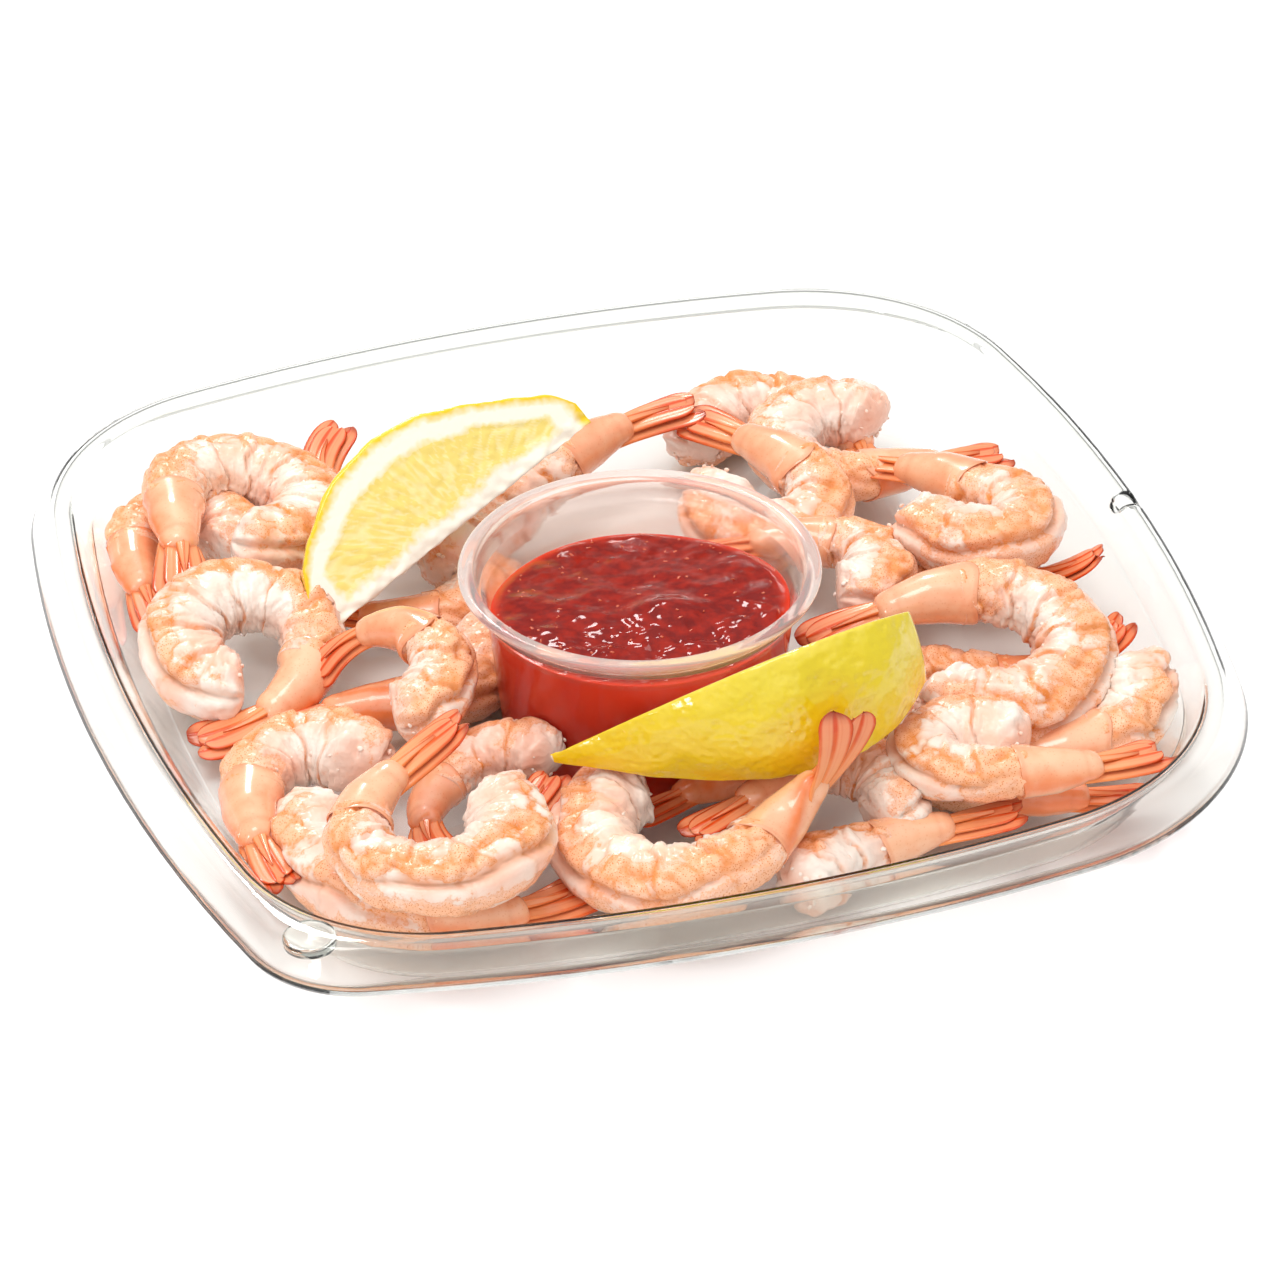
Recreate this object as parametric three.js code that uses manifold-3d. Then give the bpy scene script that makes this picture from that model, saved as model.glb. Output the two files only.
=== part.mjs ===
// Shrimp cocktail: cooked shrimps with their tails on, two lemon wedges and a portion cup of
// sauce in a clear, square, round-cornered tray.
// Millimetres, +Z up. The origin is the middle of the tray's underside, with the front at -Y.

import * as THREE from "three";
import { mergeVertices } from "three/addons/utils/BufferGeometryUtils.js";
import Module from "manifold-3d";

const wasm = await Module();
wasm.setup();

// ---------------------------------------------------------------- driving dimensions

const GAP = 0.35; // air left between pieces that touch

// Tray: the ridge is the highest line of its rim, and the lid snaps on round it.
const RIDGE_HALF_X = 112;
const RIDGE_HALF_Y = 111.9;
const SIDE_BOW_X = 369.5; // radius of the bowed left and right sides
const SIDE_BOW_Y = 399; // radius of the bowed front and back sides
const TRAY_HEIGHT = 21.3;
const TRAY_SHEET = 1.0; // thickness of the moulded floor
const NOTCH = { y: 1.5, width: 3.6, depth: 1.7 }; // lid locating notch across the right ridge
const THUMB_DISC = { x: -95, y: -94, radius: 5.3, top: 20.4 }; // boss at the front left corner

// Sauce cup
const CUP_AT = [-4.5, -21.3];
const CUP_BASE_Z = TRAY_SHEET + GAP;
const CUP_BASE_R = 28.2;
const CUP_SHOULDER_R = 31.4;
const CUP_SHOULDER_Z = 36;
const CUP_RIM_R = 37;
const CUP_RIM_Z = 42.3;
const CUP_WALL = 0.9;
const SAUCE_Z = 34.3;
const SAUCE_PEAK = { x: 3.6, y: -6.8, height: 2.2, spread: 6 };

// Shrimp: the body is the peeled part, then come one shell segment and the folded tail fan.
const SHELL_LENGTH = 16;
const FAN_LENGTH = 19;
const BODY_RADII = [[0, 6.4], [0.12, 7.3], [0.35, 7.5], [0.65, 6.8], [1, 5.6]];
const DEPTH_SHIFT = 0.16; // share of its radius by which a curled body is deeper on its belly side
const SECTION_SIDES = 8;

// ---------------------------------------------------------------- materials

const material = (color, roughness) => new THREE.MeshStandardMaterial({ color, roughness, metalness: 0 });
const clearPlastic = material("#e9eef0", 0.08);
const milkyPlastic = material("#e6e2dd", 0.25);
const shrimpFlesh = material("#f6d3b8", 0.4);
const lemonFlesh = material("#f3e04a", 0.45);
const redSauce = material("#9a1610", 0.2);

// ---------------------------------------------------------------- solids and booleans

// A closed geometry as a Manifold, turned right side out if its faces point inwards.
function toSolid(geometry) {
  const bare = geometry.clone();
  bare.deleteAttribute("normal");
  bare.deleteAttribute("uv");
  const merged = mergeVertices(bare, 1e-4);
  const vertProperties = new Float32Array(merged.attributes.position.array);
  const triVerts = new Uint32Array(merged.index.array);
  const solid = new wasm.Manifold(new wasm.Mesh({ numProp: 3, vertProperties, triVerts }));
  if (solid.volume() > 0) return solid;
  triVerts.reverse();
  return new wasm.Manifold(new wasm.Mesh({ numProp: 3, vertProperties, triVerts }));
}

function toGeometry(solid) {
  const mesh = solid.getMesh();
  const geometry = new THREE.BufferGeometry();
  geometry.setAttribute("position", new THREE.BufferAttribute(mesh.vertProperties, 3));
  geometry.setIndex(new THREE.BufferAttribute(mesh.triVerts, 1));
  geometry.computeVertexNormals();
  return geometry;
}

// The largest of the pieces that a cut leaves.
function largestPiece(solid) {
  const pieces = solid.decompose();
  pieces.sort((a, b) => b.volume() - a.volume());
  return pieces[0];
}

function addMesh(parent, name, solid, surface) {
  const mesh = new THREE.Mesh(toGeometry(solid), surface);
  mesh.name = name;
  parent.add(mesh);
}

// A skin over rings of equally many points, closed by a fan of triangles at either end.
function loft(rings, startPoint, endPoint) {
  const count = rings[0].length;
  const points = [startPoint, ...rings.flat(), endPoint];
  const last = points.length - 1;
  const at = (ring, i) => 1 + ring * count + (i % count);
  const index = [];
  for (let i = 0; i < count; i += 1) {
    index.push(0, at(0, i + 1), at(0, i));
    for (let ring = 0; ring < rings.length - 1; ring += 1) {
      index.push(at(ring, i), at(ring, i + 1), at(ring + 1, i + 1));
      index.push(at(ring, i), at(ring + 1, i + 1), at(ring + 1, i));
    }
    index.push(last, at(rings.length - 1, i), at(rings.length - 1, i + 1));
  }
  const geometry = new THREE.BufferGeometry();
  geometry.setAttribute("position", new THREE.Float32BufferAttribute(points.flat(), 3));
  geometry.setIndex(index);
  return toSolid(geometry);
}

function lathe(profile, segments) {
  const points = profile.map(([r, z]) => new THREE.Vector2(r, z));
  return new THREE.LatheGeometry(points, segments).rotateX(Math.PI / 2);
}

const radians = THREE.MathUtils.degToRad;

// Value at x on the broken line through the [x, value] pairs.
function alongLine(pairs, x) {
  const next = Math.max(1, pairs.findIndex(([at]) => at >= x));
  const [x0, y0] = pairs[next - 1];
  const [x1, y1] = pairs[next];
  return y0 + (y1 - y0) * ((x - x0) / (x1 - x0));
}

// ---------------------------------------------------------------- tray

// Corner radii of the ridge's outer edge and of the bowl inside it, anticlockwise from the
// back right. The front left ridge is squarer than its bowl, to make room for the thumb disc.
const CORNERS = [
  { x: 1, y: 1, ridge: 48.9, bowl: 48.9 },
  { x: -1, y: 1, ridge: 48.1, bowl: 48.1 },
  { x: -1, y: -1, ridge: 20.5, bowl: 45 },
  { x: 1, y: -1, ridge: 56.9, bowl: 56.9 },
];
const SIDE_STEPS = 3;
const CORNER_STEPS = 9;

// Centre of the circle that touches both bowed sides from inside.
function cornerCentre(radius) {
  const sideX = RIDGE_HALF_X - SIDE_BOW_X;
  const sideY = RIDGE_HALF_Y - SIDE_BOW_Y;
  const reachX = SIDE_BOW_X - radius;
  const reachY = SIDE_BOW_Y - radius;
  const apart = Math.hypot(sideX, sideY);
  const along = (reachX ** 2 - reachY ** 2 + apart ** 2) / (2 * apart);
  const across = Math.sqrt(reachX ** 2 - along ** 2);
  const x = sideX - (along * sideX) / apart - (across * sideY) / apart;
  const y = (along * sideY) / apart - (across * sideX) / apart;
  return [x, y];
}

// A quarter of the outline, from the X axis to the Y axis, inset from the ridge's outer edge.
function quarterOutline(inset, radius) {
  const [x, y] = cornerCentre(radius);
  const sideX = RIDGE_HALF_X - SIDE_BOW_X;
  const sideY = RIDGE_HALF_Y - SIDE_BOW_Y;
  const startTurn = Math.atan2(y, x - sideX);
  const endTurn = Math.atan2(y - sideY, x);
  const arcs = [
    { cx: sideX, cy: 0, r: SIDE_BOW_X - inset, from: 0, to: startTurn, steps: SIDE_STEPS },
    { cx: x, cy: y, r: radius - inset, from: startTurn, to: endTurn, steps: CORNER_STEPS },
    { cx: 0, cy: sideY, r: SIDE_BOW_Y - inset, from: endTurn, to: Math.PI / 2, steps: SIDE_STEPS },
  ];
  const points = [];
  for (const arc of arcs) {
    for (let i = 0; i < arc.steps; i += 1) {
      const turn = arc.from + ((arc.to - arc.from) * i) / arc.steps;
      points.push([arc.cx + arc.r * Math.cos(turn), arc.cy + arc.r * Math.sin(turn)]);
    }
  }
  points.push([0, RIDGE_HALF_Y - inset]);
  return points;
}

function trayRing({ inset, z, corner }) {
  const points = [];
  for (const side of CORNERS) {
    const quarter = quarterOutline(inset, side[corner]);
    const placed = quarter.map(([x, y]) => [x * side.x, y * side.y, z]);
    if (side.x * side.y < 0) placed.reverse();
    points.push(...placed.slice(0, -1));
  }
  return points;
}

// Upper face of the sheet from the floor out to the flange edge.
const TRAY_UPPER = [
  { inset: 21, z: TRAY_SHEET, corner: "bowl" },
  { inset: 17.6, z: 1.7, corner: "bowl" },
  { inset: 15.4, z: 4.0, corner: "bowl" },
  { inset: 9.2, z: 13.2, corner: "bowl" },
  { inset: 8.5, z: 15.4, corner: "bowl" },
  { inset: 5.3, z: 19.0, corner: "bowl" },
  { inset: 4.4, z: TRAY_HEIGHT, corner: "bowl" },
  { inset: 0.4, z: TRAY_HEIGHT, corner: "ridge" },
  { inset: -1.0, z: 18.3, corner: "ridge" },
  { inset: -4.35, z: 13.7, corner: "ridge" },
];

// Lower face, back from the flange edge to the underside.
const TRAY_LOWER = [
  { inset: -3.9, z: 12.7, corner: "ridge" },
  { inset: -0.1, z: 17.7, corner: "ridge" },
  { inset: 1.2, z: 20.3, corner: "ridge" },
  { inset: 3.7, z: 20.3, corner: "bowl" },
  { inset: 4.5, z: 18.4, corner: "bowl" },
  { inset: 7.6, z: 14.9, corner: "bowl" },
  { inset: 8.3, z: 12.7, corner: "bowl" },
  { inset: 14.5, z: 3.5, corner: "bowl" },
  { inset: 16.9, z: 0.8, corner: "bowl" },
  { inset: 20.5, z: 0, corner: "bowl" },
];

function box(width, depth, height, x, y, z) {
  return toSolid(new THREE.BoxGeometry(width, depth, height).translate(x, y, z));
}

function makeTray() {
  const rings = [...TRAY_UPPER, ...TRAY_LOWER].map(trayRing);
  const shell = loft(rings, [0, 0, TRAY_SHEET], [0, 0, 0]);
  const ridgeMiddle = RIDGE_HALF_X - 2.4;
  const saddleZ = TRAY_HEIGHT - NOTCH.depth / 2 - 0.6;
  const saddle = box(5.2, NOTCH.width + 2, NOTCH.depth + 1, ridgeMiddle, NOTCH.y, saddleZ - 0.1);
  const channel = box(9, NOTCH.width, NOTCH.depth * 2, ridgeMiddle, NOTCH.y, TRAY_HEIGHT);
  const disc = toSolid(new THREE.CylinderGeometry(THUMB_DISC.radius, THUMB_DISC.radius, 2.4, 20)
    .rotateX(Math.PI / 2).translate(THUMB_DISC.x, THUMB_DISC.y, THUMB_DISC.top - 1.2));
  return shell.add(saddle).subtract(channel).add(disc);
}

// Room for the food: the bowl's inner face moved in by the gap, up to well above the contents.
const CLEAR_Z = 70;

function makeBowlSpace() {
  const bowl = TRAY_UPPER.filter(({ corner }) => corner === "bowl");
  const rings = bowl.map(({ inset, z, corner }) => ({ inset: inset + GAP, z: z + GAP, corner }));
  rings.push({ ...rings[rings.length - 1], z: CLEAR_Z });
  return loft(rings.map(trayRing), [0, 0, TRAY_SHEET + GAP], [0, 0, CLEAR_Z]);
}

// ---------------------------------------------------------------- sauce cup and sauce

const CUP_SEGMENTS = 40;

function cupOuterProfile(grow) {
  return [
    [0, CUP_BASE_Z - grow],
    [CUP_BASE_R - 1.2 + grow, CUP_BASE_Z - grow],
    [CUP_BASE_R + grow, CUP_BASE_Z + 1.2 - grow],
    [CUP_SHOULDER_R + grow, CUP_SHOULDER_Z - grow],
    [CUP_SHOULDER_R + 2.7 + grow, CUP_SHOULDER_Z + 0.9 - grow],
    [CUP_SHOULDER_R + 3.4 + grow, CUP_RIM_Z - 2.2 - grow],
    [CUP_RIM_R - 0.3 + grow, CUP_RIM_Z - 1.7 - grow],
    [CUP_RIM_R + grow, CUP_RIM_Z - 0.8],
    [CUP_RIM_R - 0.6 + grow, CUP_RIM_Z + grow],
  ];
}

function makeCup() {
  const inner = [
    [CUP_RIM_R - 2.8, CUP_RIM_Z],
    [CUP_RIM_R - 3.5, CUP_RIM_Z - 0.8],
    [CUP_SHOULDER_R + 1.8, CUP_SHOULDER_Z + 1.8],
    [CUP_SHOULDER_R - CUP_WALL, CUP_SHOULDER_Z + 0.8],
    [CUP_BASE_R - CUP_WALL, CUP_BASE_Z + 2.1],
    [CUP_BASE_R - CUP_WALL - 1.1, CUP_BASE_Z + 1],
    [0, CUP_BASE_Z + 1],
  ];
  return toSolid(lathe([...cupOuterProfile(0), ...inner], CUP_SEGMENTS));
}

// The cup without its hollow, grown by the gap, to clear the pieces that lean on it.
function makeCupSpace() {
  const closed = [...cupOuterProfile(GAP), [0, CUP_RIM_Z + GAP]];
  return toSolid(lathe(closed, CUP_SEGMENTS)).translate([...CUP_AT, 0]);
}

function sauceSurface(x, y) {
  const away = Math.hypot(x - SAUCE_PEAK.x, y - SAUCE_PEAK.y);
  const peak = SAUCE_PEAK.height * Math.exp(-((away / SAUCE_PEAK.spread) ** 2));
  const lumps = 0.35 * Math.sin(x * 0.42 + 1) * Math.cos(y * 0.37) + 0.25 * Math.sin(y * 0.8 - x * 0.3);
  return SAUCE_Z + peak + lumps;
}

function makeSauce() {
  const count = 32;
  const slope = (CUP_SHOULDER_R - CUP_BASE_R) / (CUP_SHOULDER_Z - CUP_BASE_Z);
  const wallAt = (z) => CUP_BASE_R - CUP_WALL - GAP + slope * (z - CUP_BASE_Z - 2.1);
  const base = CUP_BASE_Z + 1 + GAP;
  const edge = SAUCE_Z - 0.6;
  const circle = (r, height) => {
    const points = [];
    for (let i = 0; i < count; i += 1) {
      const turn = (2 * Math.PI * i) / count;
      const x = r * Math.cos(turn);
      const y = r * Math.sin(turn);
      points.push([x, y, height(x, y)]);
    }
    return points;
  };
  const rings = [circle(wallAt(base) - 1.2, () => base), circle(wallAt(base) - 0.1, () => base + 1.2)];
  rings.push(circle(wallAt(edge), () => edge));
  for (const r of [27.5, 22, 16.5, 11, 5.5]) rings.push(circle(r, sauceSurface));
  return loft(rings, [0, 0, base], [0, 0, sauceSurface(0, 0)]);
}

// ---------------------------------------------------------------- lemon wedges

// A wedge of a lemon cut lengthwise. Its core is a straight edge from start to end, and the
// flesh spreads from it between two cut faces. faceAngle is how far the first face leans up
// from the level, in the plane across the core, and span is the angle to the second face.
const LEMONS = [
  {
    name: "lemon_wedge_left",
    start: [-59.6, 14.6, 15],
    end: [4.2, 39.3, 38.4],
    radius: 26.3,
    faceAngle: 136,
    span: 58,
    outline: [[0, 0.3], [0.04, 0.5], [0.11, 0.68], [0.28, 0.93], [0.45, 1], [0.6, 0.92], [0.72, 0.78],
      [0.82, 0.62], [0.9, 0.48], [0.96, 0.38], [1, 0.2]],
  },
  {
    name: "lemon_wedge_right",
    start: [-34, -55.3, 24],
    end: [40.3, -48, 35.1],
    radius: 27,
    faceAngle: 44,
    span: -60,
    outline: [[0, 0.06], [0.05, 0.16], [0.11, 0.28], [0.21, 0.5], [0.35, 0.74], [0.49, 0.91], [0.62, 1],
      [0.75, 0.98], [0.87, 0.88], [0.96, 0.69], [1, 0.58]],
  },
];
const RIND_STEPS = 6;

function makeLemon({ start, end, radius, faceAngle, span, outline }) {
  const from = new THREE.Vector3(...start);
  const core = new THREE.Vector3(...end).sub(from);
  const axis = core.clone().normalize();
  const level = new THREE.Vector3(0, 0, 1).cross(axis).normalize().negate();
  const up = axis.clone().cross(level).negate().normalize();
  const rings = outline.map(([u, share]) => {
    const foot = from.clone().addScaledVector(core, u);
    const ring = [foot.toArray()];
    for (let i = 0; i <= RIND_STEPS; i += 1) {
      const turn = radians(faceAngle + (span * i) / RIND_STEPS);
      const out = level.clone().multiplyScalar(Math.cos(turn)).addScaledVector(up, Math.sin(turn));
      ring.push(foot.clone().addScaledVector(out, radius * share).toArray());
    }
    return ring;
  });
  const middle = (ring) => [0, 1, 2].map((i) => ring.reduce((sum, point) => sum + point[i], 0) / ring.length);
  return loft(rings, middle(rings[0]), middle(rings[rings.length - 1]));
}

// The same wedge a little larger about its middle, to clear the food round it.
function makeLemonSpace(solid) {
  const { min, max } = solid.boundingBox();
  const middle = min.map((low, i) => (low + max[i]) / 2);
  return solid.translate(middle.map((value) => -value)).scale(1.04).translate(middle);
}

// ---------------------------------------------------------------- shrimps

// at: middle of the body. heading: the way the body runs there, towards the tail. bend: its turn
// from the head end to the tail, anticlockwise from above. fold: how much of the bend gathers at
// mid-body. tilt: slope of the plane it curls in, and the direction in which that plane climbs.
// tail: how far the shell segment and the fan turn on from the body, in that plane and out of it.
// late: it was laid down after all the others. Angles are in degrees.
const LYING_FLAT = { fold: 0, tilt: [0, 0], tail: [0, 0], late: false };
const SHRIMPS = [
  { at: [-51, 76, 12], heading: 122, bend: 286, length: 80, tilt: [12, 180], tail: [-10, -9], size: 1 },
  { at: [-73, 77, 8.5], heading: 155, bend: 220, length: 44, tail: [5, 0], size: 0.9 },
  { at: [-81.5, 31.5, 17], heading: 16, bend: -284, length: 74, tilt: [12, 90], tail: [-60, -7], size: 1 },
  { at: [-46, -22, 23], heading: 61, bend: 113, length: 29, tilt: [12, 45], tail: [90, -45], size: 0.9 },
  { at: [-33, -3, 8.6], heading: 225, bend: -125, length: 37, tail: [25, 0], size: 0.95 },
  { at: [-76, -19, 12], heading: 172, bend: 172, length: 38, tilt: [6, 0], tail: [18, 3], size: 1 },
  { at: [-62.5, -88.5, 23], heading: 182, bend: -240, length: 68, tail: [-74, 41], size: 1 },
  { at: [-82.5, -61, 8.8], heading: 285, bend: 104, length: 52, tail: [50, 0], size: 1 },
  { at: [-30.5, -83, 13], heading: 295, bend: 213, length: 70, tilt: [9, 0], tail: [0, 24], size: 1.05 },
  { at: [-40, -34, 13], heading: 170, bend: 115, length: 28, tilt: [12, 0], tail: [55, 15], size: 0.8 },
  { at: [-53.5, -69.5, 8], heading: 44, bend: 0, length: 16, tilt: [12, 44], size: 0.7 },
  { at: [31, -65.5, 13], heading: 126, bend: 179, length: 36, tilt: [8, 170], tail: [-22, -20], size: 0.88 },
  { at: [27.5, -44.5, 7.8], heading: 194, bend: 3, length: 42, tail: [5, 0], size: 0.82 },
  { at: [14, -87.5, 9], heading: 21, bend: -23, length: 22, tail: [-29, 15], size: 0.9 },
  { at: [38.5, -69.5, 19], heading: 247, bend: 206, length: 51, fold: 0.95, tail: [21, -3], size: 0.9 },
  { at: [48, -68, 8.2], heading: 322, bend: 10, length: 22, tail: [30, 0], size: 0.85 },
  { at: [90, -60, 12], heading: 234, bend: -96, length: 26, tilt: [8, 60], tail: [-50, 0], size: 1 },
  { at: [80, -50, 17], heading: 57, bend: 242, length: 76, tilt: [12, 90], tail: [0, -27], size: 1.05 },
  { at: [84.2, -5, 21], heading: 31, bend: 191, length: 56, fold: 0.8, tilt: [4, 270], tail: [14, -6], size: 1 },
  { at: [65.5, 6, 8.2], heading: 330, bend: 0, length: 20, tail: [0, 45], size: 0.9 },
  { at: [58.5, -32, 8.4], heading: 336, bend: 10, length: 22, tail: [25, 50], size: 0.85 },
  { at: [55, -1, 17], heading: 78, bend: 165, length: 33, tail: [20, 0], size: 0.9 },
  { at: [39.5, 22, 12], heading: 350, bend: 261, length: 53, tilt: [16, 60], tail: [0, -20], size: 1 },
  { at: [49, 80.5, 8.8], heading: 10, bend: -140, length: 38, tail: [-60, 0], size: 0.95 },
  { at: [50.5, 57, 14], late: true, heading: 246, bend: 238, length: 59, tail: [-3, -4], size: 0.93 },
  { at: [-13.5, 50.5, 12], heading: 34.5, bend: -9, length: 43, tilt: [8, 30], tail: [-37, 0], size: 1 },
  { at: [-29.5, 61, 10], heading: 178, bend: -90, length: 24, tail: [-110, 25], size: 0.85 },
  { at: [-25, 25.5, 8.3], heading: 215, bend: -88, length: 22, tail: [-55, 0], size: 0.85 },
];

// Half sizes of the shell segment and the fan, [share of length, across the curl, out of it].
const SHELL_SECTIONS = [[0.5, 5.2, 4.9], [1, 3.6, 3.3]];
const FAN_SECTIONS = [[0.25, 3.5, 2.7], [0.6, 4.6, 2.1], [0.85, 4.7, 1.7], [1, 3.2, 1.2]];

// Directions at the middle of the body: forward, to the left of it, and out of the curl's plane.
function curlFrame({ heading, tilt }) {
  const [h, t, r] = [heading, ...tilt].map(radians);
  const out = new THREE.Vector3(-Math.sin(t) * Math.cos(r), -Math.sin(t) * Math.sin(r), Math.cos(t));
  const forward = new THREE.Vector3(Math.cos(h), Math.sin(h), Math.tan(t) * Math.cos(h - r)).normalize();
  const left = out.clone().cross(forward);
  return { forward, left, out };
}

function travelDirection(shrimp, frame, along) {
  const half = shrimp.length / 2;
  const tailLength = (SHELL_LENGTH + FAN_LENGTH) * shrimp.size;
  const beyond = Math.max(0, along - half);
  const inBody = Math.min(along, half);
  const share = inBody / shrimp.length;
  const folded = (shrimp.fold * Math.sin(2 * Math.PI * share)) / (2 * Math.PI);
  const [tailTurn, tailClimb] = shrimp.tail.map((angle) => (angle * beyond) / tailLength);
  const turn = radians(shrimp.bend * (share + folded) + tailTurn);
  const climb = radians(tailClimb);
  return frame.forward.clone().multiplyScalar(Math.cos(climb) * Math.cos(turn))
    .addScaledVector(frame.left, Math.cos(climb) * Math.sin(turn))
    .addScaledVector(frame.out, Math.sin(climb));
}

function spinePoint(shrimp, frame, along) {
  const steps = Math.ceil(Math.abs(along) / 1.5) + 1;
  const step = along / steps;
  const point = new THREE.Vector3(...shrimp.at);
  for (let i = 0; i < steps; i += 1) {
    point.addScaledVector(travelDirection(shrimp, frame, (i + 0.5) * step), step);
  }
  return point;
}

// Distance along the spine from mid-body, the half sizes there, and how much deeper than that
// the belly side is, for each section.
function shrimpSections({ length, bend, size }) {
  const steps = THREE.MathUtils.clamp(Math.ceil(Math.max(Math.abs(bend) / 34, length / 11)), 3, 8);
  const headRadius = BODY_RADII[0][1] * size;
  const hollow = THREE.MathUtils.clamp(bend / 90, -1, 1) * DEPTH_SHIFT;
  const sections = [[-length / 2, headRadius * 0.8, headRadius * 0.78, hollow]];
  for (let i = 0; i <= steps; i += 1) {
    const share = i === 0 ? 2.5 / length : i / steps;
    const radius = alongLine(BODY_RADII, share) * size;
    sections.push([(share - 0.5) * length, radius, radius * 0.97, hollow]);
  }
  const shellStart = length / 2;
  const fanStart = shellStart + SHELL_LENGTH * size;
  for (const [share, across, out] of SHELL_SECTIONS) {
    sections.push([shellStart + share * SHELL_LENGTH * size, across * size, out * size, 0]);
  }
  for (const [share, across, out] of FAN_SECTIONS) {
    sections.push([fanStart + share * FAN_LENGTH * size, across * size, out * size, 0]);
  }
  return sections;
}

function makeShrimp(shrimp, grow) {
  const frame = curlFrame(shrimp);
  const rings = shrimpSections(shrimp).map(([along, across, out, hollow]) => {
    const centre = spinePoint(shrimp, frame, along);
    const travel = travelDirection(shrimp, frame, along);
    const side = frame.out.clone().cross(travel).normalize();
    const over = travel.clone().cross(side);
    const ring = [];
    for (let i = 0; i < SECTION_SIDES; i += 1) {
      const turn = (2 * Math.PI * (i + 0.5)) / SECTION_SIDES;
      const reach = (across * (1 + Math.abs(hollow)) + grow) * Math.cos(turn) + across * hollow;
      const point = centre.clone().addScaledVector(side, reach);
      ring.push(point.addScaledVector(over, (out + grow) * Math.sin(turn)).toArray());
    }
    return ring;
  });
  const headEnd = -shrimp.length / 2 - 1.2 - grow;
  const tailEnd = shrimp.length / 2 + (SHELL_LENGTH + FAN_LENGTH) * shrimp.size + 0.8 + grow;
  const ends = [headEnd, tailEnd].map((along) => spinePoint(shrimp, frame, along).toArray());
  return loft(rings, ...ends);
}

// Each shrimp is pressed against what it lies on: the tray, the cup, the lemons above it and
// the shrimps that were laid down before it.
function makeShrimps(bowlSpace, spaces) {
  const order = SHRIMPS.map((own, index) => ({ shrimp: { ...LYING_FLAT, ...own }, index }));
  order.sort((a, b) => a.shrimp.late - b.shrimp.late || a.shrimp.at[2] - b.shrimp.at[2]);
  const laid = [...spaces];
  const solids = [];
  for (const { shrimp, index } of order) {
    let solid = makeShrimp(shrimp, 0).intersect(bowlSpace);
    for (const space of laid) solid = solid.subtract(space);
    solids[index] = largestPiece(solid);
    laid.push(makeShrimp(shrimp, GAP));
  }
  return solids;
}

// ---------------------------------------------------------------- assembly

const group = new THREE.Group();
group.name = "shrimp_cocktail";

addMesh(group, "tray", makeTray(), clearPlastic);

const portion = new THREE.Group();
portion.position.set(...CUP_AT, 0);
group.add(portion);
addMesh(portion, "sauce_cup", makeCup(), milkyPlastic);
addMesh(portion, "cocktail_sauce", makeSauce(), redSauce);

const bowlSpace = makeBowlSpace();
const cupSpace = makeCupSpace();
const lemons = LEMONS.map((lemon) => makeLemon(lemon).intersect(bowlSpace).subtract(cupSpace));
LEMONS.forEach(({ name }, i) => addMesh(group, name, lemons[i], lemonFlesh));

makeShrimps(bowlSpace, [cupSpace, ...lemons.map(makeLemonSpace)]).forEach((solid, i) => {
  addMesh(group, `shrimp_${String(i + 1).padStart(2, "0")}`, solid, shrimpFlesh);
});

export default group;
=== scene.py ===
"""Shrimp cocktail: cooked shrimps, lemon wedges and a cup of sauce in a clear moulded tray.

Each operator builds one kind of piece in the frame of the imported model, from its property group
and the shape tables. The tables and the shapes are in millimetres, their angles in degrees.
"""

import math
from functools import cached_property

import bmesh
import bpy
import numpy as np
from bpy.props import FloatProperty, FloatVectorProperty, IntProperty, PointerProperty
from mathutils import Matrix, Vector, noise
from mathutils.bvhtree import BVHTree


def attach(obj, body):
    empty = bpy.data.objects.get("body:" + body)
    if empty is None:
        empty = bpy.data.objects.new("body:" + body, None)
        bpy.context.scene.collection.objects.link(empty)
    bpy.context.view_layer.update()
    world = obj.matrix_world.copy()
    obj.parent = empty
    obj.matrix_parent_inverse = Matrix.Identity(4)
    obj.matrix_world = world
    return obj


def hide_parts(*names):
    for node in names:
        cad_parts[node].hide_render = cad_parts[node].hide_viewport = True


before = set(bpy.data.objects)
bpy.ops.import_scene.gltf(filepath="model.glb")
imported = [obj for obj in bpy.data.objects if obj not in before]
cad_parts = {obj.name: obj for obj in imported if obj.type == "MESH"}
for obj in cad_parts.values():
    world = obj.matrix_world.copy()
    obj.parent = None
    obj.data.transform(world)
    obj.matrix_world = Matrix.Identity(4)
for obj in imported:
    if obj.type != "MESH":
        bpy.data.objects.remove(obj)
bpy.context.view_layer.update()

bl_info = {
    "name": "Shrimp cocktail",
    "version": (1, 0, 0),
    "blender": (4, 5, 0),
    "location": "3D View > Sidebar > Shrimp cocktail",
    "description": "Builds a tray of cooked shrimps with lemon wedges and a cup of sauce",
    "category": "Add Mesh",
}

MM = 0.001
TURN = 2 * math.pi


# ---------------------------------------------------------------- colours and nodes

def colour_property(name, description, hex_colour):
    """Colour setting whose default is an sRGB hex colour, stored as linear RGBA."""
    channels = [int(hex_colour[i:i + 2], 16) / 255 for i in (1, 3, 5)]
    linear = [c / 12.92 if c <= 0.04045 else ((c + 0.055) / 1.055) ** 2.4 for c in channels]
    return FloatVectorProperty(name=name, description=description, subtype="COLOR", size=4,
                               min=0.0, max=1.0, default=linear + [1.0])


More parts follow.
